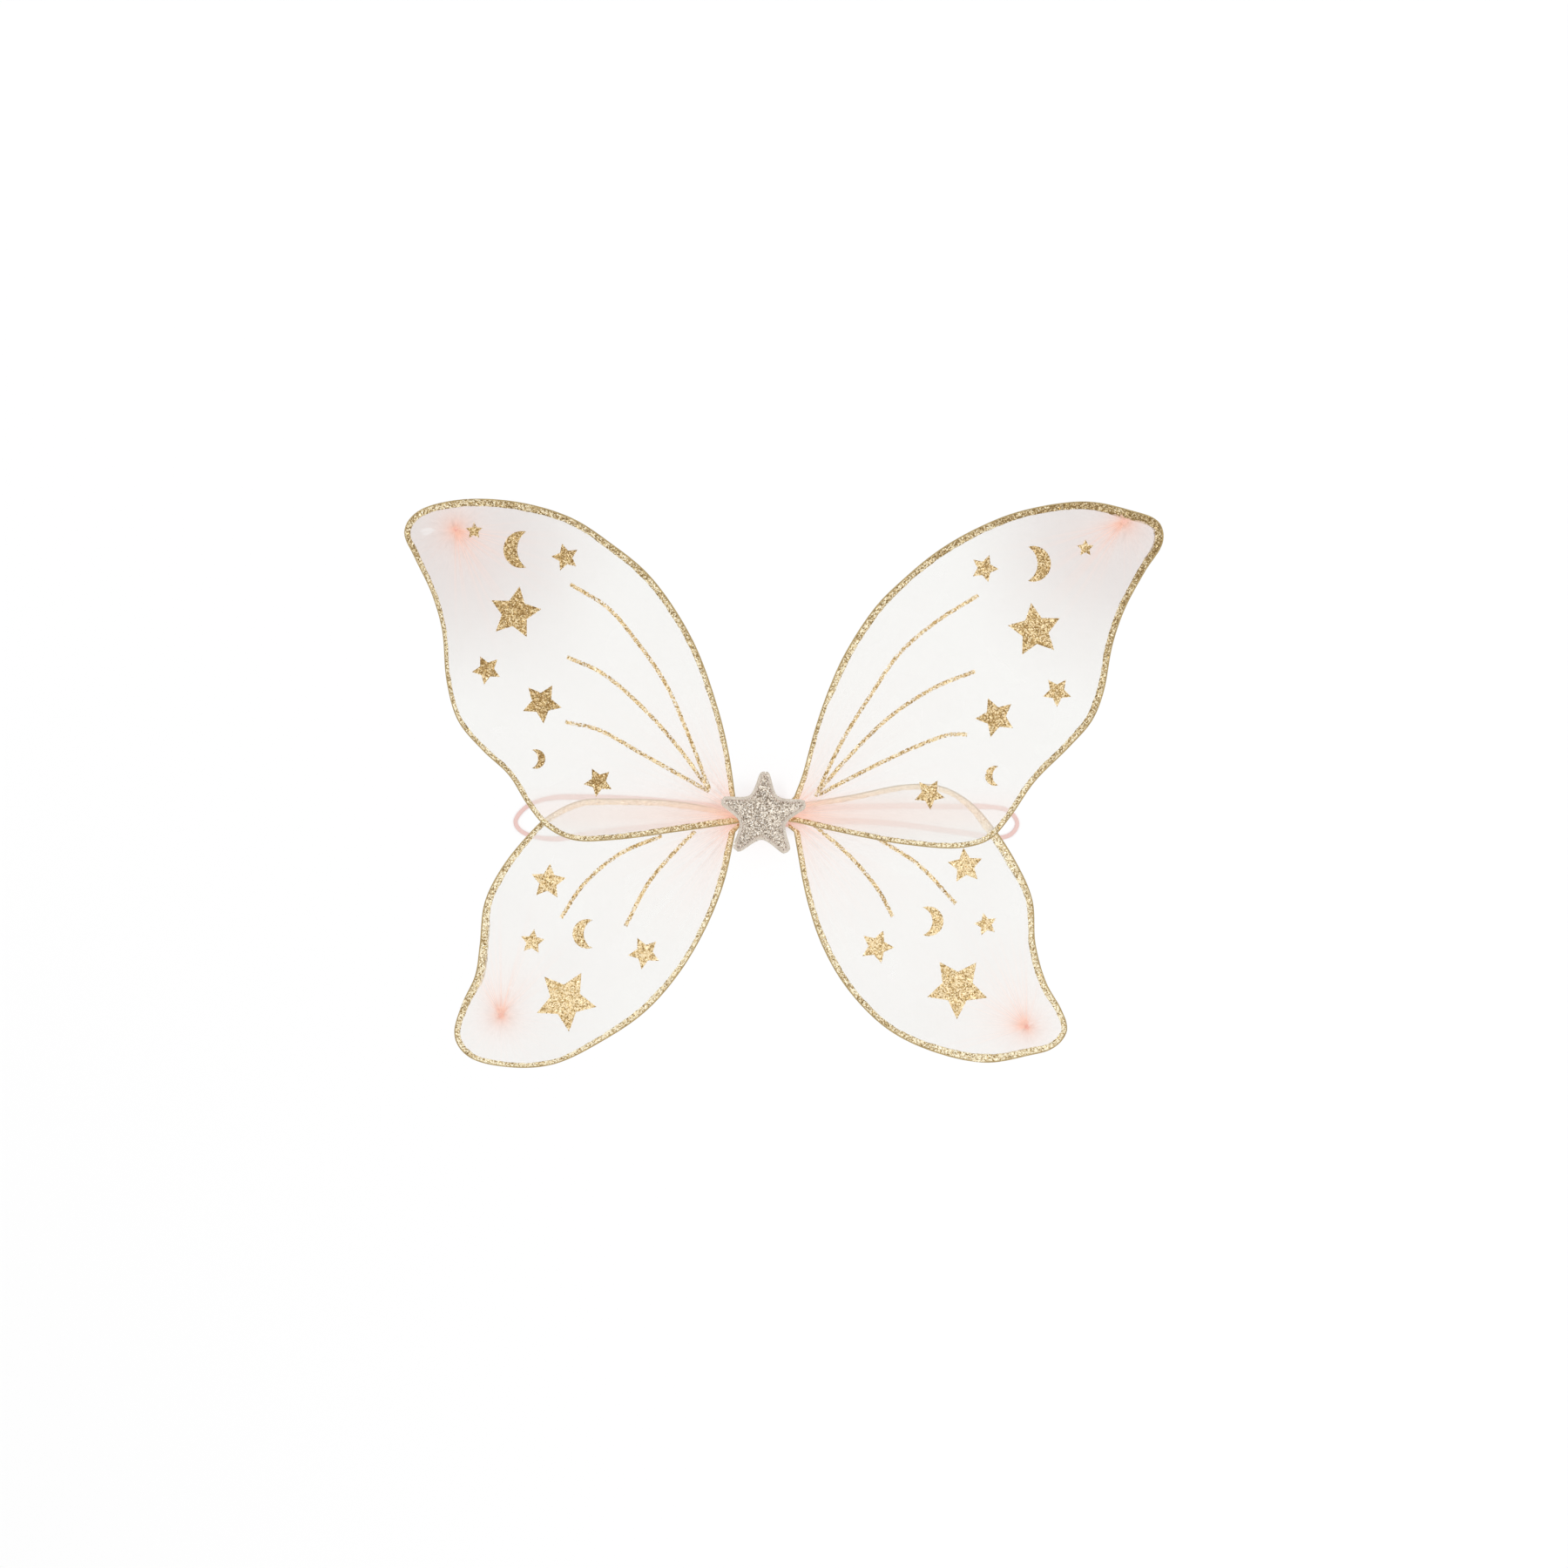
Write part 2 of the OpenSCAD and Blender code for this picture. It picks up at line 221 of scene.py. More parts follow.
class Shader(Graph):
    """A material's graph, with the coordinates and patterns that the finishes share."""

    def __init__(self, name: str) -> None:
        """Starts an empty material.

        Args:
            name: the material's name.
        """
        self.material = bpy.data.materials.new(name)
        self.material.use_nodes = True
        self.material.node_tree.nodes.clear()
        super().__init__(self.material.node_tree)

    def place(self) -> bpy.types.NodeSocket:
        """The point on the piece, in metres."""
        return self.node("ShaderNodeTexCoord").outputs["Object"]

    def attribute(self, name: str) -> Value:
        """The number that the mesh holds under that name."""
        return Value(self, self.node("ShaderNodeAttribute", {"attribute_name": name}).outputs["Fac"])

    def axes(self, vector: bpy.types.NodeSocket) -> tuple[Value, Value, Value]:
        """A vector's three numbers."""
        split = self.node("ShaderNodeSeparateXYZ", None, {0: vector})
        return tuple(Value(self, socket) for socket in split.outputs)

    def noise(self, where: Input, size: float, detail: float = 2.0) -> Value:
        """Smooth noise from about 0.3 to 0.7, with features of that size."""
        node = self.node("ShaderNodeTexNoise", None, {"Vector": where, "Scale": 1.0 / size, "Detail": detail})
        return Value(self, node.outputs["Fac"])

    def cells(self, where: Input, size: float) -> bpy.types.NodeSocket:
        """The random colour of each cell of that size."""
        return self.node("ShaderNodeTexVoronoi", None, {"Vector": where, "Scale": 1.0 / size}).outputs["Color"]

    def wave(self, along: Value, length: float) -> Value:
        """A sine wave from 0 to 1, of that length."""
        return self.math("SINE", along * (math.tau / length)) * 0.5 + 0.5

    def bump(self, height: Value, depth: float, strength: float = 1.0) -> bpy.types.NodeSocket:
        """A normal bent by that height.

        Args:
            height: the height, from 0 to 1.
            depth: what 1 stands for, in metres.
            strength: how much of it shows.

        Returns:
            The normal.
        """
        held = {"Height": height, "Distance": depth, "Strength": strength}
        return self.node("ShaderNodeBump", None, held).outputs[0]

    def finish(self, **inputs: Input) -> bpy.types.Material:
        """Ends the material in one Principled shader.

        Args:
            inputs: the shader's sockets, with underscores for spaces.

        Returns:
            The material.
        """
        held = {}
        for key, value in inputs.items():
            name = key.replace("_", " ")
            held[name] = (*value, 1.0) if isinstance(value, tuple) and len(value) == 3 else value
        shader = self.node("ShaderNodeBsdfPrincipled", None, held)
        self.node("ShaderNodeOutputMaterial", None, {"Surface": shader.outputs[0]})
        return self.material


# ------------------------------------------------------------------- finishes


@dataclass(frozen=True)
class Finish:
    """A surface, known by the name of its material."""

    name: str

    def material(self) -> bpy.types.Material:
        """The material, which each finish builds in its own way."""
        raise NotImplementedError


@dataclass(frozen=True)
class TwoTone(Finish):
    """A surface that varies between a light colour and a deep one."""

    light: Colour
    deep: Colour

    def ended(
        self, s: Shader, share: Value, height: Value, depth: float, strength: float, **inputs: Input
    ) -> bpy.types.Material:
        """Ends the material's shader.

        Args:
            s: the shader.
            share: where the colour is light.
            height: what stands out of the surface.
            depth: how far it stands out, in metres.
            strength: how much of that shows.
            inputs: the shader's other sockets.

        Returns:
            The material.
        """
        colour = s.mix(share, self.deep, self.light)
        return s.finish(Base_Color=colour, Normal=s.bump(height, depth, strength), **inputs)


@dataclass(frozen=True)
class Glitter(Finish):
    """Fine flakes held in glue, each turned its own way."""

    dark: Colour
    middle: Colour
    light: Colour
    flake: float = 0.75 * MM
    tilt: float = 0.8
    cover: bool = False
    blush: Colour = (0.96, 0.50, 0.19)

    def material(self) -> bpy.types.Material:
        """The glitter: paler by the mesh's tone, pinker by its blush, and sparser by its cover if cover is set.

        Returns:
            The material.
        """
        s = Shader(self.name)
        place = s.place()
        colour = s.cells(place, self.flake)
        red, green, blue = s.axes(colour)
        fine_red, _, _ = s.axes(s.cells(place, self.flake * 0.45))
        patch = s.noise(place, 9 * MM, 3.0)
        share = (red * 0.68 + fine_red * 0.32 + (patch - 0.5) * 0.3 + s.attribute("tone")).clamped()
        ramp = s.node(
            "ShaderNodeValToRGB",
            {"stops": [(0.26, self.dark), (0.5, self.middle), (0.75, self.light)]},
            {0: share},
        )
        turned = s.vector("SUBTRACT", colour, (0.5, 0.5, 0.5))
        turned = s.vector("MULTIPLY", turned, (self.tilt, self.tilt, self.tilt))
        normal = s.vector("ADD", s.node("ShaderNodeNewGeometry").outputs["Normal"], turned)
        inputs = {
            "Base_Color": s.mix(s.attribute("blush"), ramp.outputs[0], self.blush),
            "Metallic": 0.35 + 0.4 * green,
            "Roughness": 0.28 + 0.3 * blue,
            "Normal": s.vector("NORMALIZE", normal),
        }
        if self.cover:
            inputs["Alpha"] = (s.attribute("cover") + (patch - 0.5) * 0.5) > (red * 0.55 + fine_red * 0.45)
        return s.finish(**inputs)


@dataclass(frozen=True)
class Flake(TwoTone):
    """One loose flake, brighter or darker by its own tint."""

    def material(self) -> bpy.types.Material:
        """A metallic flake.

        Returns:
            The material.
        """
        s = Shader(self.name)
        tint = s.attribute("tint")
        colour = s.mix(tint, self.deep, self.light)
        return s.finish(Base_Color=colour, Metallic=0.9, Roughness=0.16 + 0.2 * tint)


@dataclass(frozen=True)
class Sheer(Finish):
    """One layer of knitted nylon sleeve, denser and pinker where it is gathered.

    root and knot are the gathers' middles. rays is the direction that the knot's folds run in, and spread is how far
    to each side of it they reach. shaded is how grey the sleeve is near the knot, and glow how pink between its hems.
    """

    cream: Colour
    pink: Colour
    shade: Colour
    root: tuple[float, float]
    knot: tuple[float, float]
    rays: float
    spread: float
    thin: float = 0.31
    shaded: float = 0.3
    glow: float = 0.0

    def round_from(self, s: Shader, centre: tuple[float, float]) -> tuple[Value, Value]:
        """How far a point is from a centre, and in which direction.

        Args:
            s: the shader.
            centre: the centre.

        Returns:
            (the distance in metres, the direction in radians).
        """
        x, y, _ = s.axes(s.vector("SUBTRACT", s.place(), (*centre, 0.0)))
        return s.math("SQRT", x * x + y * y), s.math("ARCTAN2", y, x)

    def folds(self, s: Shader, far: Value, turn: Value, count: float, low: float, high: float) -> Value:
        """Folds that run out from a centre.

        Args:
            s: the shader.
            far: the distance from the centre.
            turn: the direction from the centre.
            count: how many folds a full turn would hold.
            low: the noise that stands for the space between folds.
            high: the noise that stands for a fold.

        Returns:
            1 on a fold and 0 between folds.
        """
        around = s.node("ShaderNodeCombineXYZ", None, {0: turn * (count / math.tau), 1: far * 5.0, 2: 0.0})
        return s.noise(around.outputs[0], 1.0, 3.0).smooth(low, high)

    def fading(self, far: Value, reach: float) -> Value:
        """1 at the centre, and about a third of that for each reach further out."""
        return (1 / math.e) ** (far * (1 / reach))

    def material(self) -> bpy.types.Material:
        """The sleeve: cream, pinker and denser towards the root and the tip knot, and greyer near the knot.

        Returns:
            The material.
        """
        s = Shader(self.name)
        place = s.place()
        far, turn = self.round_from(s, self.root)
        fold = self.folds(s, far, turn, 170.0, 0.40, 0.64)
        root = self.fading(far, 11 * MM) * (0.3 + 0.95 * fold) * 1.9
        root = root + self.fading(far, 26 * MM) * (0.05 + 0.1 * fold)
        x, y, _ = s.axes(place)
        if self.glow:
            across = (y - 1.5 * MM) * (1 / (9 * MM))
            root = root + self.glow * (1 / math.e) ** (across * across) * self.fading(far, 80 * MM)
        away, angle = self.round_from(s, self.knot)
        off = s.math("COSINE", angle - self.rays)
        sector = off.smooth(math.cos(self.spread), math.cos(self.spread * 0.35))
        ray = self.folds(s, away, angle, 90.0, 0.47, 0.66)
        core = self.fading(away, 4.2 * MM) * 1.25
        knot = core + self.fading(away, 12 * MM) * (0.10 + 0.95 * ray) * (0.12 + 0.88 * sector) * 1.15
        knot = knot + self.fading(away, 7 * MM) * sector * 0.6
        pink = (root + knot).clamped()
        haze = s.noise(place, 50 * MM, 2.0)
        shade = (self.shaded * (1.0 - away.smooth(20 * MM, 130 * MM)) + (haze - 0.5) * 0.3).clamped()
        mesh = 0.55 * MM
        weave = s.wave(x + y * 0.25, mesh) * s.wave(y - x * 0.25, mesh)
        alpha = (self.thin + shade * 0.18 + pink * 0.4 + (weave - 0.25) * 0.06).clamped()
        base = s.mix(pink**0.55, s.mix(shade, self.cream, self.shade), self.pink)
        pleats = self.fading(far, 24 * MM) * fold + self.fading(away, 12 * MM) * ray
        return s.finish(
            Base_Color=base, Alpha=alpha, Roughness=0.6, Specular_IOR_Level=0.15, Sheen_Weight=0.15,
            Normal=s.bump(pleats * 0.7 + weave * 0.05, 0.3 * MM, 0.5),
        )


@dataclass(frozen=True)
class Gathered(TwoTone):
    """Nylon pulled tight into folds, so that it is dense and pink."""

    stretch: tuple[float, float, float] = (0.06, 1.0, 1.0)
    fades: bool = False

    def material(self) -> bpy.types.Material:
        """The folds, drawn out along the direction in which the pattern is stretched.

        Returns:
            The material.
        """
        s = Shader(self.name)
        place = s.vector("MULTIPLY", s.place(), self.stretch)
        folds = s.noise(place, 0.9 * MM, 3.0)
        soft = s.noise(place, 4.0 * MM, 2.0)
        share = (folds * 0.7 + soft * 0.5).smooth(0.35, 0.85)
        inputs = {}
        if self.fades:
            inputs["Alpha"] = ((1.0 - s.attribute("fade")).clamped() ** 1.6 * (0.78 - 0.45 * share)).clamped()
        return self.ended(s, share, folds, 0.5 * MM, 0.8, Roughness=0.55, Sheen_Weight=0.3, **inputs)


@dataclass(frozen=True)
class Knit(TwoTone):
    """Flat knitted elastic, with ribs along it and fine courses across it."""

    rib: float = 0.5 * MM

    def material(self) -> bpy.types.Material:
        """The elastic, read from its own map: metres along, and metres round.

        Returns:
            The material.
        """
        s = Shader(self.name)
        along, around, _ = s.axes(s.node("ShaderNodeUVMap", {"uv_map": "length"}).outputs[0])
        ribs = s.wave(around, self.rib)
        courses = s.math("SINE", along * (math.tau / (0.8 * self.rib)) + ribs * 2.0) * 0.5 + 0.5
        knit = ribs * 0.6 + courses * 0.4
        soft = s.noise(s.place(), 12 * MM, 2.0)
        share = (knit * 0.6 + soft * 0.5).clamped()
        return self.ended(s, share, knit, 0.12 * MM, 0.8, Roughness=0.75, Sheen_Weight=0.3)


@dataclass(frozen=True)
class Felt(TwoTone):
    """Pressed felt: short fibres lying every way, and a soft mottle."""

    def material(self) -> bpy.types.Material:
        """The felt.

        Returns:
            The material.
        """
        s = Shader(self.name)
        place = s.place()
        fibres = s.noise(place, 0.5 * MM, 5.0)
        mottle = s.noise(place, 6 * MM, 3.0)
        share = (fibres * 0.9 + mottle * 0.5 - 0.2).clamped()
        return self.ended(s, share, fibres, 0.3 * MM, 0.7, Roughness=0.9, Sheen_Weight=0.4)


@dataclass(frozen=True)
class Thread(TwoTone):
    """Twisted sewing thread."""

    twist: float = 0.35 * MM

    def material(self) -> bpy.types.Material:
        """The thread, with its plies slanting across it.

        Returns:
            The material.
        """
        s = Shader(self.name)
        x, y, z = s.axes(s.place())
        plies = s.wave(x + y + z, self.twist)
        return self.ended(s, plies, plies, 0.08 * MM, 0.7, Roughness=0.6, Sheen_Weight=0.2)


@dataclass(frozen=True)
class WireWithEdgeShade(TwoTone):
    """Wire seen through the sleeve's tight seam, with glue and stray glitter on it. Its dark colour is partly painted
    shade, the shade on the band's rounded outer edge.
    """

    def material(self) -> bpy.types.Material:
        """The wire's dark line along the edge. The dark line is partly the wire's own colour and partly painted shade
        of the band's rounded outer edge.

        Returns:
            The material.
        """
        s = Shader(self.name)
        place = s.place()
        grain, _, _ = s.axes(s.cells(place, 0.45 * MM))
        dirt = s.noise(place, 7 * MM, 3.0)
        share = (grain * 0.5 + dirt * 0.8 - 0.15).clamped()
        metal, rough = 0.35 + 0.3 * grain, 0.35 + 0.25 * dirt
        return self.ended(s, share, grain, 0.1 * MM, 0.5, Metallic=metal, Roughness=rough)


@dataclass(frozen=True)
class Paper(Finish):
    """The plain pale floor."""

    tone: Colour

    def material(self) -> bpy.types.Material:
        """A matt surface."""
        return Shader(self.name).finish(Base_Color=self.tone, Roughness=0.95, Specular_IOR_Level=0.1)


GOLD = Glitter("gold_glitter", (0.23, 0.14, 0.045), (0.67, 0.50, 0.26), (1.0, 0.92, 0.70))
GOLD_PRINT = Glitter(
    "gold_glitter_print", (0.27, 0.15, 0.04), (0.66, 0.44, 0.18), (1.0, 0.83, 0.54), cover=True,
)
CHAMPAGNE = Glitter(
    "champagne_glitter", (0.20, 0.15, 0.105), (0.54, 0.44, 0.34), (1.0, 0.92, 0.80), flake=0.72 * MM,
)
GOLD_FLAKE = Flake("gold_flake", (1.0, 0.86, 0.46), (0.34, 0.20, 0.05))
CHAMPAGNE_FLAKE = Flake("champagne_flake", (1.0, 0.96, 0.90), (0.45, 0.38, 0.32))
PIPING = Gathered("star_piping_cloth", (0.75, 0.67, 0.57), (0.52, 0.45, 0.37), (1.0, 1.0, 1.0))
WRAP = Gathered("pink_wrap", (0.96, 0.68, 0.58), (0.82, 0.40, 0.30))
ROOT_NYLON = Gathered("pink_gather", (0.99, 0.80, 0.72), (0.95, 0.58, 0.46), fades=True)
TUFT = Gathered("pink_tuft", (0.97, 0.62, 0.52), (0.85, 0.38, 0.29), (1.0, 1.0, 0.15))
ELASTIC = Knit("pale_pink_elastic", (0.92, 0.68, 0.63), (0.76, 0.48, 0.44))
FELT = Felt("pale_pink_felt", (0.92, 0.72, 0.67), (0.78, 0.52, 0.47))
THREAD = Thread("pink_thread", (0.97, 0.84, 0.79), (0.80, 0.58, 0.52))
# painted shade: the wire's dark colours also stand for the shade on the band's rounded outer edge
WIRE_AND_EDGE_SHADE = WireWithEdgeShade("coated_wire", (0.62, 0.48, 0.24), (0.30, 0.20, 0.08))
FLOOR = Paper("floor_paper", (0.95, 0.95, 0.95))
CREAM = (0.81, 0.80, 0.765)
SALMON = (0.98, 0.56, 0.43)
MAUVE = (0.65, 0.585, 0.565)
_made: dict[str, bpy.types.Material] = {}


def material(finish: Finish) -> bpy.types.Material:
    """The one material of a finish, made when it is first asked for.

    Args:
        finish: the finish.

    Returns:
        The material.
    """
    if finish.name not in _made:
        _made[finish.name] = finish.material()
    return _made[finish.name]


# ------------------------------------------------------------- reading the CAD


def cad_mesh(node: str) -> tuple[np.ndarray, np.ndarray]:
    """A node's merged points, and its triangles.

    Args:
        node: the CAD node's name.

    Returns:
        (points, triangles as point numbers).
    """
    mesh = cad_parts[node].data
    points = np.array([v.co for v in mesh.vertices], float).reshape(-1, 3)
    rounded, same = np.unique(np.round(points, 6), axis=0, return_inverse=True)
    same = same.reshape(-1)
    mesh.calc_loop_triangles()
    triangles = np.array([[same[i] for i in t.vertices] for t in mesh.loop_triangles])
    first, second, third = triangles.T
    return rounded, triangles[(first != second) & (second != third) & (first != third)]


def box_of(node: str) -> tuple[np.ndarray, np.ndarray, np.ndarray, np.ndarray]:
    """A node's box: its low corner, its high corner, its middle and half of its size."""
    low, high = (np.array(c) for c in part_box(node))
    return low, high, (low + high) / 2, (high - low) / 2


def upper_loops(node: str) -> list[np.ndarray]:
    """The outlines of a flat node's upper faces, the longest first, each anticlockwise.

    Args:
        node: the CAD node's name.

    Returns:
        A list of arrays of points, one for each outline.
    """
    points, triangles = cad_mesh(node)
    a, b, c = (points[triangles[:, i]] for i in range(3))
    normal = np.cross(b - a, c - a)
    normal /= np.maximum(np.linalg.norm(normal, axis=1), 1e-15)[:, None]
    top = triangles[normal[:, 2] > 0.9]
    edges = np.concatenate([top[:, [0, 1]], top[:, [1, 2]], top[:, [2, 0]]])
    pairs = {tuple(e) for e in edges.tolist()}
    following = {a: b for a, b in pairs if (b, a) not in pairs}
    loops = []
    while following:
        first = min(following)
        loop = [first]
        here = following.pop(first)
        while here != first and here in following:
            loop.append(here)
            here = following.pop(here)
        if len(loop) > 2:
            loops.append(points[loop])
    return sorted(loops, key=lambda loop: -length_of(np.vstack([loop, loop[:1]])))


def length_of(line: np.ndarray) -> float:
    """A line's length."""
    return float(np.linalg.norm(np.diff(line, axis=0), axis=1).sum())


def run_along(line: np.ndarray) -> np.ndarray:
    """How far along a line each of its points is."""
    return np.concatenate([[0], np.cumsum(np.linalg.norm(np.diff(line, axis=0), axis=1))])


def area_of(loop: np.ndarray) -> float:
    """The area that an outline encloses in X and Y, positive if it runs anticlockwise."""
    x, y = loop[:, 0], loop[:, 1]
    return float(0.5 * (x * np.roll(y, -1) - np.roll(x, -1) * y).sum())


@dataclass(frozen=True)
class Plane:
    """A nearly level plane: z = height + across * x + along * y."""

    height: float
    across: float
    along: float

    @classmethod
    def through(cls, points: np.ndarray) -> "Plane":
        """The plane nearest to some points.

        Args:
            points: the points.

        Returns:
            The plane.
        """
        terms = np.column_stack([np.ones(len(points)), points[:, 0], points[:, 1]])
        found = np.linalg.lstsq(terms, points[:, 2], rcond=None)[0]
        return cls(*(float(x) for x in found))

    def at(self, points: np.ndarray) -> np.ndarray:
        """The plane's height at each of the points."""
        return self.height + self.across * points[:, 0] + self.along * points[:, 1]


# ------------------------------------------------------------------- curves


def spaced(line: np.ndarray, gap: float, closed: bool = False) -> np.ndarray:
    """A smooth line through the points, with new points about a gap apart.

    Args:
        line: the points.
        gap: the new spacing.
        closed: True for a ring, whose first point isn't repeated.

    Returns:
        The new points.
    """
    n = len(line)
    if closed:
        held = np.vstack([line[-1], line, line[0], line[1]])
    else:
        held = np.vstack([2 * line[0] - line[1], line, 2 * line[-1] - line[-2]])
    fine, steps = [], np.linspace(0, 1, 9)[:-1]
    for i in range(1, n + (1 if closed else 0)):
        a, b, c, d = held[i - 1], held[i], held[i + 1], held[i + 2]
        for t in steps:
            bend, twist = 2 * a - 5 * b + 4 * c - d, 3 * b - a - 3 * c + d
            fine.append(0.5 * (2 * b + (c - a) * t + bend * t**2 + twist * t**3))
    fine.append(line[0] if closed else line[-1])
    fine = np.array(fine)
    run = run_along(fine)
    count = max(3, int(round(run[-1] / gap)) + 1)
    wanted = np.linspace(0, run[-1], count)[: -1 if closed else None]
    return np.stack([np.interp(wanted, run, fine[:, k]) for k in range(line.shape[1])], axis=1)


def unit(steps: np.ndarray) -> np.ndarray:
    """Each of the vectors, at a length of 1."""
    return steps / np.maximum(np.linalg.norm(steps, axis=1), 1e-12)[:, None]


def wobble(at: np.ndarray, size: float, seed: int) -> np.ndarray:
    """Smooth noise along a line, from about -1 to 1.

    Args:
        at: places along the line, in metres.
        size: how long one wave is, in metres.
        seed: picks the waves.

    Returns:
        The noise at each place.
    """
    random = np.random.default_rng(seed)
    phases, shares = random.random(5) * math.tau, 0.6 + 0.8 * random.random(5)
    rates = np.array([0.61, 1.0, 1.57, 2.3, 3.7])
    return sum(np.sin(at * math.tau / size * r + p) * s for r, p, s in zip(rates, phases, shares)) / 2.6


def inside(points: np.ndarray, loop: np.ndarray) -> np.ndarray:
    """Which points an outline encloses, in X and Y.

    Args:
        points: the points.
        loop: the outline.

    Returns:
        True for each point inside.
    """
    x, y = points[:, 0][:, None], points[:, 1][:, None]
    x1, y1 = loop[:, 0][None], loop[:, 1][None]
    x2, y2 = np.roll(loop[:, 0], -1)[None], np.roll(loop[:, 1], -1)[None]
    crosses = (y1 > y) != (y2 > y)
    with np.errstate(divide="ignore", invalid="ignore"):
        at = (x2 - x1) * (y - y1) / (y2 - y1) + x1
    return (crosses & (x < at)).sum(1) % 2 == 1


def edge_distance(points: np.ndarray, loop: np.ndarray) -> np.ndarray:
    """How far each point is from an outline, in X and Y.

    Args:
        points: the points.
        loop: the outline.

    Returns:
        The distances.
    """
    start = loop[:, :2]
    side = np.roll(start, -1, axis=0) - start
    size = np.maximum((side**2).sum(1), 1e-18)
    best = []
    for some in np.array_split(points[:, None, :2], max(1, len(points) // 2000)):
        share = np.clip(((some - start) * side).sum(2) / size, 0, 1)
        best.append(np.linalg.norm(some - (start + share[..., None] * side), axis=2).min(1))
    return np.concatenate(best)


# ------------------------------------------------------------------- meshes


def piece(
    name: str, points: np.ndarray, faces: Iterable[Sequence[int]], finish: bpy.types.Material
) -> bpy.types.Object:
    """A smooth-shaded object in the scene.

    Args:
        name: the piece's name.
        points: its points, in the row frame.
        faces: its faces, as point numbers.
        finish: its material.

    Returns:
        The object.
    """
    mesh = bpy.data.meshes.new(name)
    mesh.from_pydata([tuple(p) for p in points], [], [tuple(int(i) for i in f) for f in faces])
    mesh.materials.append(finish)
    mesh.shade_smooth()
    mesh.update()
    made = bpy.data.objects.new(name, mesh)
    bpy.context.scene.collection.objects.link(made)
    return made


def close_up(made: bpy.types.Object) -> bpy.types.Object:
    """Turns a closed piece's faces outwards.

    Args:
        made: the piece.

    Returns:
        The same piece.
    """
    work = bmesh.new()
    work.from_mesh(made.data)
    bmesh.ops.recalc_face_normals(work, faces=work.faces)
    work.to_mesh(made.data)
    work.free()
    return made


def hold(made: bpy.types.Object, name: str, values: np.ndarray) -> None:
    """Keeps a number for each of a piece's points, under a name that its material reads."""
    attribute = made.data.attributes.new(name, "FLOAT", "POINT")
    attribute.data.foreach_set("value", np.asarray(values, np.float32))


def hold_rings(made: bpy.types.Object, name: str, values: np.ndarray, around: int) -> None:
    """Keeps a number for each ring of an open swept piece, whose two end points come last."""
    hold(made, name, np.append(np.repeat(values, around), (values[0], values[-1])))


def divided(loop: np.ndarray, gap: float) -> np.ndarray:
    """An outline with each of its sides cut into equal lengths.

    Args:
        loop: the outline.
        gap: the greatest length.

    Returns:
        The new points.
    """
    found = []
    for a, b in zip(loop, np.roll(loop, -1, axis=0), strict=True):
        count = max(1, math.ceil(float(np.linalg.norm(b - a)) / gap))
        found += [a + (b - a) * i / count for i in range(count)]
    return np.array(found)


def triangulated(loop: np.ndarray, extra: np.ndarray) -> tuple[np.ndarray, list]:
    """Triangles that fill an outline, with points inside it.

    Args:
        loop: the outline, in X and Y.
        extra: points inside it.

    Returns:
        (the points in X and Y, the faces).
    """
    points = np.vstack([loop[:, :2], extra[:, :2]]) / MM
    n = len(loop)
    edges = [(i, (i + 1) % n) for i in range(n)]
    made = delaunay_2d_cdt([Vector(p) for p in points], edges, [], 1, 1e-5)
    flat = np.array([tuple(p) for p in made[0]]) * MM
    faces = []
    for f in made[2]:
        a, b, c = (flat[i] for i in f[:3])
        turn = (b[0] - a[0]) * (c[1] - a[1]) - (b[1] - a[1]) * (c[0] - a[0])
        faces.append(list(f) if turn > 0 else list(reversed(f)))
    return flat, faces


def grid_inside(loop: np.ndarray, gap: float, clear: float) -> np.ndarray:
    """Points in a triangular grid inside an outline.

    Args:
        loop: the outline.
        gap: the grid's spacing.
        clear: how far the points stay from the outline.

    Returns:
        The points, in X and Y.
    """
    low, high = loop[:, :2].min(0), loop[:, :2].max(0)
    rows = np.arange(low[1], high[1], gap * math.sqrt(0.75))
    grid = np.array([
        (x, y) for i, y in enumerate(rows) for x in np.arange(low[0] + (i % 2) * gap / 2, high[0], gap)
    ])
    grid = grid[inside(grid, loop)]
    return grid[edge_distance(grid, loop) > clear]


def swept(
    name: str, rings: np.ndarray, finish: bpy.types.Material, map_name: str | None = None
) -> bpy.types.Object:
    """A tube through rings of points, closed at both ends.

    Args:
        name: the piece's name.
        rings: an array of rings, points and three numbers.
        finish: its material.
        map_name: the name of a map of metres along and metres round, if the material reads one.

    Returns:
        The object.
    """
    n, k, _ = rings.shape
    faces = []
    for a in range(0, (n - 1) * k, k):
        faces += [(a + j, a + (j + 1) % k, a + k + (j + 1) % k, a + k + j) for j in range(k)]
    first, last = n * k, (n - 1) * k
    faces += [(first, (j + 1) % k, j) for j in range(k)]
    faces += [(first + 1, last + j, last + (j + 1) % k) for j in range(k)]
    points = np.vstack([rings.reshape(-1, 3), rings[0].mean(0), rings[-1].mean(0)])
    made = close_up(piece(name, points, faces, finish))
    if map_name:
        along, around = run_along(rings.mean(1)), run_along(np.vstack([rings[0], rings[0, :1]]))
        layer = made.data.uv_layers.new(name=map_name)
        for polygon in made.data.polygons:
            numbers = [made.data.loops[i].vertex_index for i in polygon.loop_indices]
            wraps = {v % k for v in numbers if v < n * k} >= {0, k - 1}
            for i, v in zip(polygon.loop_indices, numbers, strict=True):
                row, column = (v // k, v % k) if v < n * k else ((0, n - 1)[v - n * k], 0)
                layer.data[i].uv = (along[row], around[k] if wraps and column == 0 else around[column])
    return made


# ------------------------------------------------------------ geometry nodes


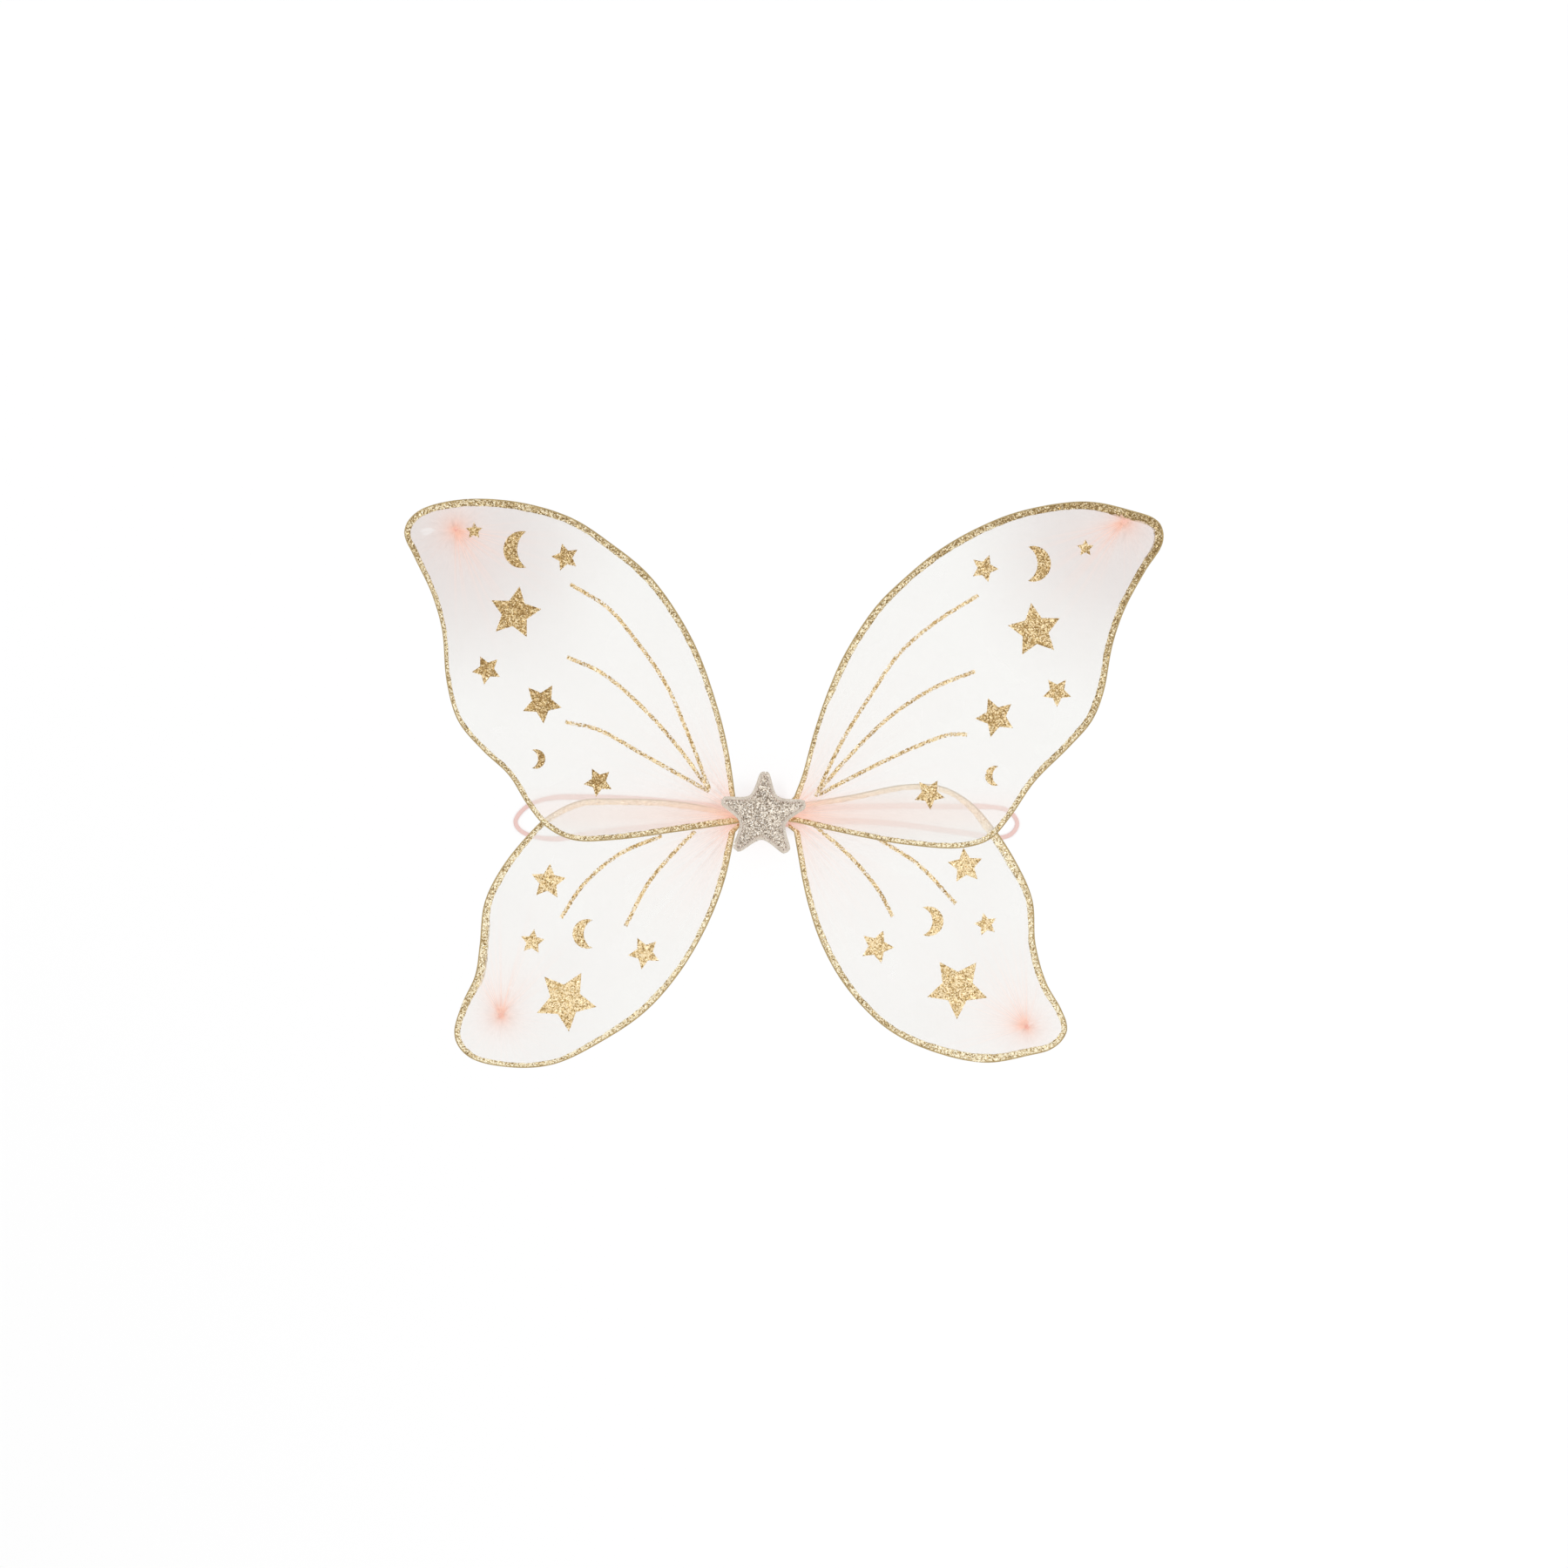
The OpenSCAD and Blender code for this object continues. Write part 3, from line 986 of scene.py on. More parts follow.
class Maker(Graph):
    """A geometry node group that turns a line or a surface into finished pieces."""

    def __init__(self, name: str, sizes: dict[str, float]) -> None:
        """Starts the group.

        Args:
            name: the group's name.
            sizes: its named sizes and what each is unless it is set.
        """
        super().__init__(bpy.data.node_groups.new(name, "GeometryNodeTree"))
        face = self.tree.interface
        face.new_socket("Geometry", in_out="INPUT", socket_type="NodeSocketGeometry")
        face.new_socket("Geometry", in_out="OUTPUT", socket_type="NodeSocketGeometry")
        self.keys = {}
        for key, value in sizes.items():
            socket = face.new_socket(key, in_out="INPUT", socket_type="NodeSocketFloat")
            socket.default_value = value
            self.keys[key] = socket.identifier
        socket = face.new_socket("Finish", in_out="INPUT", socket_type="NodeSocketMaterial")
        self.keys["Finish"] = socket.identifier
        self.start = self.node("NodeGroupInput")
        self.ending = self.node("NodeGroupOutput")

    def size(self, key: str) -> bpy.types.NodeSocket:
        """The socket of one of the named sizes."""
        return self.start.outputs[key]

    def end(self, geometry: bpy.types.NodeSocket, smooth: bool = True) -> None:
        """Makes the geometry real, shades it, gives it the finish and puts it out.

        Args:
            geometry: the instances or the mesh.
            smooth: False for flat shading.
        """
        real = self.node("GeometryNodeRealizeInstances", None, {0: geometry}).outputs[0]
        shaded = self.node("GeometryNodeSetShadeSmooth", None, {"Geometry": real, "Shade Smooth": smooth})
        held = {"Geometry": shaded.outputs[0], "Material": self.size("Finish")}
        dressed = self.node("GeometryNodeSetMaterial", None, held)
        self.link(dressed.outputs[0], self.ending.inputs[0])

    def make(
        self, name: str, points: np.ndarray, edges: Iterable, faces: Iterable, finish: bpy.types.Material,
        **sizes: float,
    ) -> bpy.types.Object:
        """Runs the group on a mesh, and leaves the result as a plain piece.

        Args:
            name: the piece's name.
            points: the mesh's points.
            edges: its edges.
            faces: its faces.
            finish: the material.
            sizes: the named sizes to set.

        Returns:
            The object.
        """
        source = bpy.data.meshes.new(name)
        source.from_pydata([tuple(p) for p in points], list(edges), [tuple(f) for f in faces])
        made = bpy.data.objects.new(name, source)
        bpy.context.scene.collection.objects.link(made)
        modifier = made.modifiers.new("make", "NODES")
        modifier.node_group = self.tree
        for key, value in {"Finish": finish, **sizes}.items():
            modifier[self.keys[key]] = value
        graph = bpy.context.evaluated_depsgraph_get()
        result = bpy.data.meshes.new_from_object(made.evaluated_get(graph), depsgraph=graph)
        made.modifiers.remove(modifier)
        made.data = result
        result.name = name
        bpy.data.meshes.remove(source)
        return made


class LineMaker(Maker):
    """A geometry node group that works along a line."""

    def curve(self) -> bpy.types.NodeSocket:
        """The line, as a curve."""
        return self.node("GeometryNodeMeshToCurve", None, {"Mesh": self.start.outputs[0]}).outputs[0]

    def run(
        self, name: str, line: np.ndarray, finish: bpy.types.Material, closed: bool, **sizes: float
    ) -> bpy.types.Object:
        """Runs the group on a line.

        Args:
            name: the piece's name.
            line: the points that it follows.
            finish: the material.
            closed: True for a ring.
            sizes: the named sizes to set.

        Returns:
            The object.
        """
        n = len(line)
        edges = [(i, (i + 1) % n) for i in range(n if closed else n - 1)]
        return self.make(name, line, edges, [], finish, **sizes)


class TubeMaker(LineMaker):
    """A round tube along a line, such as a wire, piping or a winding of thread."""

    def __init__(self) -> None:
        """Builds the group: the line becomes a curve, and a circle is drawn along it."""
        super().__init__("tube_along_line", {"Radius": 1 * MM, "Sides": 12.0})
        held = {"Resolution": self.size("Sides"), "Radius": self.size("Radius")}
        ring = self.node("GeometryNodeCurvePrimitiveCircle", None, held).outputs[0]
        held = {"Curve": self.curve(), "Profile Curve": ring, "Fill Caps": True}
        self.end(self.node("GeometryNodeCurveToMesh", None, held).outputs[0])

    def along(
        self, name: str, line: np.ndarray, radius: float, finish: bpy.types.Material, closed: bool = False,
        sides: int = 12,
    ) -> bpy.types.Object:
        """One tube.

        Args:
            name: the piece's name.
            line: the points that it follows.
            radius: its radius.
            finish: its material.
            closed: True for a ring.
            sides: its sides.

        Returns:
            The object.
        """
        return self.run(name, line, finish, closed, Radius=radius, Sides=float(sides))


class StitchMaker(LineMaker):
    """A row of short stitches along a line."""

    def __init__(self) -> None:
        """Builds the group: a thin pill at each point of the resampled line, turned to run along it."""
        super().__init__("stitches_along_line", {"Pitch": 3 * MM, "Length": 2 * MM, "Radius": 0.25 * MM})
        held = {"Curve": self.curve(), "Length": self.size("Pitch")}
        even = self.node("GeometryNodeResampleCurve", {"mode": "LENGTH"}, held).outputs[0]
        held = {"Segments": 8, "Rings": 6, "Radius": self.size("Radius")}
        pill = self.node("GeometryNodeMeshUVSphere", None, held).outputs[0]
        share = self.math("DIVIDE", self.size("Length"), self.size("Radius")) * 0.5
        scale = self.node("ShaderNodeCombineXYZ", None, {0: share, 1: 1.0, 2: 1.0}).outputs[0]
        long = self.node("GeometryNodeTransform", None, {"Geometry": pill, "Scale": scale}).outputs[0]
        tangent = self.node("GeometryNodeInputTangent").outputs[0]
        turned = self.node("FunctionNodeAlignRotationToVector", {"axis": "X"}, {"Vector": tangent}).outputs[0]
        held = {"Points": even, "Instance": long, "Rotation": turned}
        self.end(self.node("GeometryNodeInstanceOnPoints", None, held).outputs[0])

    def along(
        self, name: str, line: np.ndarray, pitch: float, length: float, radius: float,
        finish: bpy.types.Material, closed: bool = True,
    ) -> bpy.types.Object:
        """One row of stitches.

        Args:
            name: the piece's name.
            line: the points that it follows.
            pitch: from one stitch to the next.
            length: a stitch's length.
            radius: half of a stitch's width.
            finish: the thread.
            closed: True for a row that runs all round.

        Returns:
            The object.
        """
        return self.run(name, line, finish, closed, Pitch=pitch, Length=length, Radius=radius)


class FlakeMaker(Maker):
    """Loose glitter flakes scattered over a surface, each with its own tilt, size and tint."""

    LIFT = 0.12 * MM

    def __init__(self) -> None:
        """Builds the group: a small six-sided flake at random points, which keep the face's direction."""
        sizes = {"Flakes per square metre": 5e5, "Flake": 0.5 * MM, "Thickness": 0.08 * MM, "Tilt": 0.7}
        super().__init__("flakes_on_surface", sizes)
        spread = self.node(
            "GeometryNodeDistributePointsOnFaces", {"distribute_method": "RANDOM"},
            {"Mesh": self.start.outputs[0], "Density": self.size("Flakes per square metre"), "Seed": 7},
        )
        flake = self.node(
            "GeometryNodeMeshCylinder", {"fill_type": "NGON"},
            {"Vertices": 6, "Radius": self.size("Flake"), "Depth": self.size("Thickness")},
        )
        tilt, back = self.size("Tilt"), self.math("MULTIPLY", self.size("Tilt"), -1.0)
        low = self.node("ShaderNodeCombineXYZ", None, {0: back, 1: back, 2: -math.pi}).outputs[0]
        high = self.node("ShaderNodeCombineXYZ", None, {0: tilt, 1: tilt, 2: math.pi}).outputs[0]
        held = {0: low, 1: high, "Seed": 11}
        random = self.node("FunctionNodeRandomValue", {"data_type": "FLOAT_VECTOR"}, held).outputs[0]
        turn = self.node("FunctionNodeEulerToRotation", None, {0: random}).outputs[0]
        held = {0: spread.outputs["Rotation"], 1: turn}
        turned = self.node("FunctionNodeRotateRotation", {"rotation_space": "LOCAL"}, held).outputs[0]
        held = {2: 0.6, 3: 1.15, "Seed": 13}
        size = self.node("FunctionNodeRandomValue", {"data_type": "FLOAT"}, held).outputs[1]
        held = {"Points": spread.outputs[0], "Instance": flake.outputs[0], "Rotation": turned, "Scale": size}
        placed = self.node("GeometryNodeInstanceOnPoints", None, held)
        held = {2: 0.0, 3: 1.0, "Seed": 17}
        tint = self.node("FunctionNodeRandomValue", {"data_type": "FLOAT"}, held).outputs[1]
        kept = self.node(
            "GeometryNodeStoreNamedAttribute", {"data_type": "FLOAT", "domain": "INSTANCE"},
            {"Geometry": placed.outputs[0], "Name": "tint", "Value": tint},
        )
        self.end(kept.outputs[0], smooth=False)

    def over(
        self, name: str, surface: bpy.types.Object, density: float, flake: float, finish: bpy.types.Material
    ) -> bpy.types.Object:
        """Flakes on a piece's upper faces.

        Args:
            name: the new piece's name.
            surface: the piece.
            density: flakes for each square metre.
            flake: a flake's radius.
            finish: the flakes' material.

        Returns:
            The object.
        """
        mesh = surface.data
        points = np.array([v.co for v in mesh.vertices], float).reshape(-1, 3)
        faces = [tuple(p.vertices) for p in mesh.polygons if p.normal.z > 0.25]
        used = sorted({i for f in faces for i in f})
        number = {v: i for i, v in enumerate(used)}
        lifted = points[used] + (0, 0, self.LIFT)
        sizes = {"Flakes per square metre": density, "Flake": flake}
        return self.make(name, lifted, [], [[number[i] for i in f] for f in faces], finish, **sizes)


TUBES = TubeMaker()
STITCHES = StitchMaker()
FLAKES = FlakeMaker()


# --------------------------------------------------------------------- wings


class Side(Enum):
    """The wearer's side as the wings lie, with the star up."""

    LEFT = "left"
    RIGHT = "right"


class Level(Enum):
    """The pair that a wing belongs to."""

    UPPER = "upper"
    LOWER = "lower"


class Layer(Enum):
    """One of a sleeve's two layers, with the way that it stands off the wing's plane."""

    FRONT = 1.0
    BACK = -1.0


def eased(share: np.ndarray) -> np.ndarray:
    """0 to 1, with a soft start and end."""
    share = np.clip(share, 0, 1)
    return share * share * (3 - 2 * share)


@dataclass(frozen=True)
class Gather:
    """A place where a sleeve is drawn together."""

    middle: tuple[float, float]
    reach: float
    folds: float
    depth: float
    clear: float

    def depth_at(self, points: np.ndarray, seed: int) -> np.ndarray:
        """How far the folds lift each of some points.

        Args:
            points: the points.
            seed: picks the folds.

        Returns:
            The lifts.
        """
        away = points[:, :2] - self.middle
        far = np.linalg.norm(away, axis=1)
        turn = np.arctan2(away[:, 1], away[:, 0])
        fall = np.clip(1 - far / self.reach, 0, 1) ** 1.4 * eased(far / self.clear)
        return self.depth * fall * wobble(turn * self.folds, math.tau, seed)

    def rings(self) -> np.ndarray:
        """Points in rings, close enough together to carry the folds.

        Returns:
            The points, in X and Y.
        """
        x, y = self.middle
        found = []
        for far in np.arange(self.clear, self.reach, 3.2 * MM):
            count = int(min(math.tau * far / (0.9 * MM), self.folds * 10))
            turn = np.linspace(0, math.tau, count, endpoint=False)
            found.append(np.column_stack([x + far * np.cos(turn), y + far * np.sin(turn)]))
        return np.vstack(found)


@dataclass
class Wing:
    """One wing: a wire loop in a sheer sleeve, with glitter along its edge and glitter prints.

    widths is the edging's width in millimetres, and tones how pale it is, each by the share of the way round from the
    top of the root. bumps is where the glitter tape overlaps, by the same share. rays is the direction that the tip
    knot's folds run in, spread is how far to each side of it they reach, and print_tone is how pale the prints are.
    """

    VEIL_LIFT = 0.5 * MM
    HINGE = (16 * MM, 25 * MM)
    HINGE_HEIGHT = 8.2 * MM
    STEM_END = 14.5 * MM
    STEM_HALF = 4.6 * MM
    FAN_MIDDLE = 13.5 * MM
    UNDERSIDE = -0.95 * MM

    side: Side
    level: Level
    widths: Sequence[tuple[float, float]]
    rays: float
    spread: float
    tones: Sequence[tuple[float, float]]
    print_tone: float = 0.0
    bumps: tuple[float, ...] = ()
    pieces: list[bpy.types.Object] = field(default_factory=list)

    def __post_init__(self) -> None:
        """Reads the wing's plane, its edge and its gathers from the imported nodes."""
        rim = upper_loops(self.node("front_veil"))[0]
        plane = Plane.through(rim)
        self.plane = Plane(plane.height - self.VEIL_LIFT, plane.across, plane.along)
        edge = max(upper_loops(self.node("glitter_edging")), key=lambda loop: loop[:, 2].mean())
        longer, shorter = sorted(self.two_sides(edge), key=length_of, reverse=True)
        both = spaced(np.hstack([longer[:, :2], shorter[:, :2]]), 2.6 * MM)
        if both[0, 1] < both[-1, 1]:
            both = both[::-1]
        both = np.vstack([self.drawn_in(both, True), both, self.drawn_in(both, False)])
        self.outer, self.inner = both[:, :2], both[:, 2:]
        self.run = run_along(self.outer)
        _, _, knot, _ = box_of(self.node("tip_gather"))
        ends = (self.outer[0] + self.outer[-1] + self.inner[0] + self.inner[-1]) / 4
        self.root = Gather((float(ends[0]), float(ends[1])), 78 * MM, 46, 1.1 * MM, 6 * MM)
        self.knot = Gather((float(knot[0]), float(knot[1])), 34 * MM, 40, 0.7 * MM, 2.6 * MM)
        self.hem = 0.7 * self.outer + 0.3 * self.inner
        self.seed = 10 * int(self.side is Side.LEFT) + 20 * int(self.level is Level.UPPER) + 3

    @property
    def way(self) -> float:
        """-1 on the left and 1 on the right."""
        return -1.0 if self.side is Side.LEFT else 1.0

    @property
    def body(self) -> str:
        """The CAD body that the wing rides on."""
        return f"{self.side.value}_{self.level.value}_wing"

    def node(self, part: str) -> str:
        """The name of one of the wing's CAD nodes."""
        return f"{self.level.value}_{self.side.value}_{part}"

    @staticmethod
    def two_sides(loop: np.ndarray) -> list[np.ndarray]:
        """A band's outline, as its two long sides, both in the same direction.

        Args:
            loop: the outline, with a square corner at each end of both sides.

        Returns:
            The two sides.
        """
        before, after = loop - np.roll(loop, 1, axis=0), np.roll(loop, -1, axis=0) - loop
        turn = (before * after).sum(1) / np.linalg.norm(before, axis=1) / np.linalg.norm(after, axis=1)
        corners = sorted(np.argsort(turn)[:4])
        turned = np.roll(loop, -corners[0], axis=0)
        cuts = [c - corners[0] for c in corners] + [len(loop)]
        runs = [np.vstack([turned, turned[:1]])[a : b + 1] for a, b in zip(cuts, cuts[1:], strict=False)]
        one, two = sorted(runs, key=len, reverse=True)[:2]
        return [one, two[::-1]]

    def drawn_in(self, both: np.ndarray, first: bool) -> np.ndarray:
        """Two more pairs of points that carry the edging on into the wrap.

        Args:
            both: the outer and inner sides, in X and Y.
            first: True for the line's start.

        Returns:
            The pairs, in the line's order.
        """
        near = both[0] if first else both[-1]
        middle = (near[:2] + near[2:]) / 2
        across = (near[:2] - near[2:]) / 2
        found = []
        for share in (1.0, 0.5):
            stem = np.array([self.way * self.STEM_END, np.clip(middle[1], -self.STEM_HALF, self.STEM_HALF)])
            at = middle + (stem - middle) * share
            half = across * (1 - 0.45 * share)
            found.append(np.concatenate([at + half, at - half]))
        return np.array(found if first else found[::-1])

    def attach(self, made: bpy.types.Object, slot: str, *nodes: str, bends: bool = True) -> bpy.types.Object:
        """Fixes a piece to the wing if it lies clear of the hinge, and otherwise only bakes its transform into its
        points.

        Args:
            made: the piece.
            slot: not used.
            nodes: the CAD nodes that it stands for.
            bends: False if it lies clear of the hinge.

        Returns:
            The piece.
        """
        if bends:
            start, end = ((self.way * x, 0.0, self.HINGE_HEIGHT) for x in self.HINGE)
            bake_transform(made)
        else:
            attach(made, self.body)
        if nodes:
            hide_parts(*(self.node(n) for n in nodes))
        made.visible_shadow = made.visible_diffuse = False
        self.pieces.append(made)
        return made

    def stand_off(self, points: np.ndarray, layer: Layer) -> np.ndarray:
        """The height of a layer of the sleeve at each of the points.

        Args:
            points: the points, in X and Y.
            layer: which layer.

        Returns:
            The heights.
        """
        slack = eased(edge_distance(points, self.hem) / (9 * MM))
        seed = self.seed + int(layer.value)
        folds = self.root.depth_at(points, seed) + self.knot.depth_at(points, seed + 1)
        x, y = points[:, 0], points[:, 1]
        waves = wobble(x + 0.35 * y, 70 * MM, seed + 2) * wobble(y - 0.3 * x, 60 * MM, seed + 3)
        lift = layer.value * (0.12 + 0.78 * slack) * MM
        return self.plane.at(points) + lift + slack * (folds + 0.5 * MM * waves)

    def veil(self, layer: Layer) -> bpy.types.Object:
        """One layer of the sleeve, hung between the edging's two sides.

        Args:
            layer: which layer.

        Returns:
            The sheet.
        """
        loop = self.hem if area_of(self.hem) > 0 else self.hem[::-1]
        inner = grid_inside(loop, 3.6 * MM, 1.4 * MM)
        for gather in (self.root, self.knot):
            near = np.linalg.norm(inner - gather.middle, axis=1) < gather.reach
            rings = gather.rings()
            rings = rings[inside(rings, loop)]
            inner = np.vstack([inner[~near], rings[edge_distance(rings, loop) > 1.1 * MM]])
        flat, faces = triangulated(loop, inner)
        points = np.column_stack([flat, self.stand_off(flat, layer)])
        shaded, glow = (0.85, 0.28) if self.level is Level.UPPER else (0.1, 0.0)
        look = Sheer(
            f"sheer_nylon_{self.body}", CREAM, SALMON, MAUVE, self.root.middle, self.knot.middle, self.rays,
            self.spread, shaded=shaded, glow=glow,
        )
        return piece(f"{self.body}_{layer.name.lower()}_veil", points, faces, material(look))

    def edging(self) -> bpy.types.Object:
        """The glitter band, folded over the wire along its outer side and glued down along its inner one.

        Returns:
            The piece.
        """
        middle, across = (self.outer + self.inner) / 2, (self.outer - self.inner) / 2
        share = self.run / self.run[-1]
        wide = np.interp(share, *np.array(self.widths).T) * MM / (self.cad_width() / 2)
        inward = wide - 0.95 + 0.09 * wobble(self.run, 17 * MM, self.seed)
        bumps = sum(np.exp(-(((share - place) * self.run[-1] / (5 * MM)) ** 4)) for place in self.bumps)
        outward = 0.95 + 0.04 * wobble(self.run, 11 * MM, self.seed + 2) + 0.22 * bumps
        inner_side, outer_side = middle - across * inward[:, None], middle + across * outward[:, None]
        thick = (1 + 0.12 * wobble(self.run, 9 * MM, self.seed + 1) + 0.3 * bumps)[:, None]
        shares = np.array([0.0, 0.05, 0.2, 0.45, 0.68, 0.86, 0.97])
        heights = np.array([0.05, 0.42, 0.50, 0.56, 0.92, 0.80, 0.34]) * MM
        base = self.plane.at(middle)[:, None]
        around = np.concatenate([shares, [1.0], shares[:0:-1]])
        tops = np.concatenate([heights, [0.0], -heights[:0:-1]])
        flat = inner_side[:, None] + (outer_side - inner_side)[:, None] * around[None, :, None]
        lift = np.maximum(tops[None] * thick, self.UNDERSIDE)
        rings = np.concatenate([flat, (base + lift)[..., None]], axis=2)
        made = swept(f"{self.body}_glitter_edging", rings, material(GOLD))
        from_root = np.minimum(self.run, self.run[-1] - self.run)
        tone = np.interp(share, *np.array(self.tones).T)
        hold_rings(made, "tone", tone, len(around))
        blush = 0.5 * np.exp(-from_root / (16 * MM)) + 2 * np.maximum(tone - 0.17, 0)
        hold_rings(made, "blush", np.clip(blush, 0, 1), len(around))
        return made

    def cad_width(self) -> float:
        """The band's width in the CAD."""
        return float(np.median(np.linalg.norm(self.outer - self.inner, axis=1)))

    def wire(self) -> bpy.types.Object:
        """The wire, which shows as a thin dark line along the outer edge. The darkness is partly painted shade of the
        band's rounded outer edge.

        Returns:
            The piece.
        """
        at = self.outer + (self.inner - self.outer) * 0.035
        line = np.column_stack([at, self.plane.at(at)])
        return TUBES.along(f"{self.body}_wire", line, 0.6 * MM, material(WIRE_AND_EDGE_SHADE), sides=10)

    def print_of(self, part: str, keep: float, tone: float) -> bpy.types.Object:
        """Glitter stuck on the front layer, in the outlines of a CAD node.

        Args:
            part: the node's part of the name.
            keep: how much of it is covered, from 0 to 1.
            tone: how pale it is.

        Returns:
            The piece.
        """
        points, faces, cover = [], [], []
        for outline in upper_loops(self.node(part)):
            if area_of(outline) < 0:
                continue
            loop = divided(outline[:, :2], 1.0 * MM)
            flat, found = triangulated(loop, grid_inside(loop, 1.3 * MM, 0.45 * MM))
            first = sum(len(p) for p in points)
            points.append(flat)
            faces += [[i + first for i in f] for f in found]
            cover.append(keep * (0.88 + 0.3 * np.clip(edge_distance(flat, loop) / (0.7 * MM), 0, 1)))
        flat = np.vstack(points)
        raised = np.column_stack([flat, self.stand_off(flat, Layer.FRONT) + 0.22 * MM])
        made = piece(f"{self.body}_{part}", raised, faces, material(GOLD_PRINT))
        hold(made, "cover", np.concatenate(cover))
        hold(made, "tone", np.full(len(flat), tone))
        return made

    def tuft(self) -> bpy.types.Object:
        """The gathered knot near the tip: a small puckered button of nylon.

        Returns:
            The piece.
        """
        turns = np.linspace(0, math.tau, 48, endpoint=False)
        widths = (0.25, 0.7, 1.25, 1.6, 1.75, 1.6, 1.2, 0.3)
        heights = (1.25, 1.4, 1.2, 0.6, 0.0, -0.4, -0.75, -0.85)
        rings = []
        for i, (far, high) in enumerate(zip(widths, heights, strict=True)):
            folded = far * (1 + 0.14 * np.sin(turns * 9 + 0.4 * i) + 0.05 * np.sin(turns * 17))
            rings.append(np.column_stack([folded * np.cos(turns), folded * np.sin(turns), np.full(48, high)]))
        rings = np.array(rings) * MM
        middle = np.array([[*self.knot.middle]])
        rings += (*self.knot.middle, float(self.plane.at(middle)[0]))
        return swept(f"{self.body}_tip_knot", rings, material(TUFT))

    def fan(self) -> bpy.types.Object:
        """The sleeve's end at the root, drawn together into deep pink folds.

        Returns:
            The piece.
        """
        rows, columns = 15, 121
        middle = np.array([self.way * self.FAN_MIDDLE, (self.hem[0, 1] + self.hem[-1, 1]) / 2 * 0.7])
        turns = [math.atan2(p[1] - middle[1], (p[0] - middle[0]) * self.way) for p in self.reach_of(middle)]
        low, high = min(turns), max(turns)
        margin = 0.05 * (high - low)
        angle = np.linspace(low + margin, high - margin, columns)
        fold = wobble(angle * 26, math.tau, self.seed + 5)
        points = []
        for row in range(rows):
            far = (2.0 + 26.0 * (row / (rows - 1)) ** 1.1) * MM
            ragged = far * (1 + 0.13 * (row / rows) * wobble(angle * 20, math.tau, self.seed))
            at = middle + np.column_stack([self.way * ragged * np.cos(angle), ragged * np.sin(angle)])
            lift = (0.35 + 0.75 * row / rows) * MM * fold * (1 - 0.5 * (row / rows) ** 3)
            points.append(np.column_stack([at, self.plane.at(at) + 0.25 * MM + lift]))
        points = np.vstack(points)
        faces = [
            (r * columns + c, r * columns + c + 1, (r + 1) * columns + c + 1, (r + 1) * columns + c)
            for r in range(rows - 1) for c in range(columns - 1)
        ]
        if self.way > 0:
            faces = [f[::-1] for f in faces]
        made = piece(f"{self.body}_root_gather", points, faces, material(ROOT_NYLON))
        hold(made, "fade", np.repeat(np.linspace(0, 1, rows), columns))
        return made

    def reach_of(self, middle: np.ndarray) -> list[np.ndarray]:
        """Where the band's inner edge is first about 20 mm from a point.

        Args:
            middle: the point.

        Returns:
            The place near the band's start, and the one near its end.
        """
        off = np.linalg.norm(self.inner - middle, axis=1) > 20 * MM
        half = len(off) // 2
        return [self.inner[int(np.argmax(off[:half]))], self.inner[len(off) - 1 - int(np.argmax(off[:half:-1]))]]

    def build(self) -> None:
        """Makes the wing's pieces, and fixes to it those that lie clear of the hinge."""
        band = self.attach(self.edging(), "gold_glitter", "glitter_edging")
        self.attach(self.wire(), "frame_wire", "wire_frame")
        stray = FLAKES.over(f"{self.body}_edge_flakes", band, 3.2e5, 0.34 * MM, material(GOLD_FLAKE))
        self.attach(stray, "gold_glitter")
        prints = []
        for part, keep, tone in (
            ("glitter_stars", 0.95, self.print_tone), ("glitter_moons", 0.9, self.print_tone),
            ("glitter_veins", 0.66, 0.12),
        ):
            prints.append(self.attach(self.print_of(part, keep, tone), "gold_glitter", part, bends=False))
        for made in tuple(prints):
            flakes = FLAKES.over(f"{made.name}_flakes", made, 4.5e5, 0.3 * MM, material(GOLD_FLAKE))
            prints.append(self.attach(flakes, "gold_glitter", bends=False))
        flat = abs(area_of(self.hem)) * 1.004
        for layer in Layer:
            made = self.veil(layer)
            self.attach(made, "sheer_nylon", f"{layer.name.lower()}_veil")
        self.attach(self.tuft(), "pink_nylon", "tip_gather", bends=False)
        self.attach(self.fan(), "pink_nylon", "root_gather")
        LOG.info("%s: %d pieces, %.0f mm of edging", self.body, len(self.pieces), self.run[-1] / MM)


# -------------------------------------------------------------------- centre


def cushion(
    name: str, loop: np.ndarray, low: float, high: float, soft_low: float, soft_high: float, gap: float,
    finish: bpy.types.Material,
) -> bpy.types.Object:
    """A closed form over an outline, rounded from its edge towards its middle.

    Args:
        name: the piece's name.
        loop: the outline, in X and Y.
        low: the underside's lowest height.
        high: the upper side's greatest height.
        soft_low: how far in from the edge the underside keeps dropping.
        soft_high: how far in from the edge the upper side keeps rising.
        gap: the spacing of the points.
        finish: the material.

    Returns:
        The object.
    """
    flat, faces = triangulated(loop, grid_inside(loop, gap, 0.5 * gap))
    far = edge_distance(flat, loop)
    middle = (low + high) / 2

    def rounded(reach: float) -> np.ndarray:
        """0 at the edge and 1 past the reach, as a quarter circle."""
        return np.sqrt(np.maximum(1 - (1 - np.clip(far / reach, 0, 1)) ** 2, 0))

    rim = far < 1e-6
    top = np.column_stack([flat, middle + (high - middle) * rounded(soft_high)])
    bottom = np.column_stack([flat, middle + (low - middle) * rounded(soft_low)])
    below = np.where(rim, np.arange(len(flat)), len(flat) + np.cumsum(~rim) - 1)
    points = np.vstack([top, bottom[~rim]])
    return close_up(piece(name, points, faces + [[int(below[i]) for i in f[::-1]] for f in faces], finish))


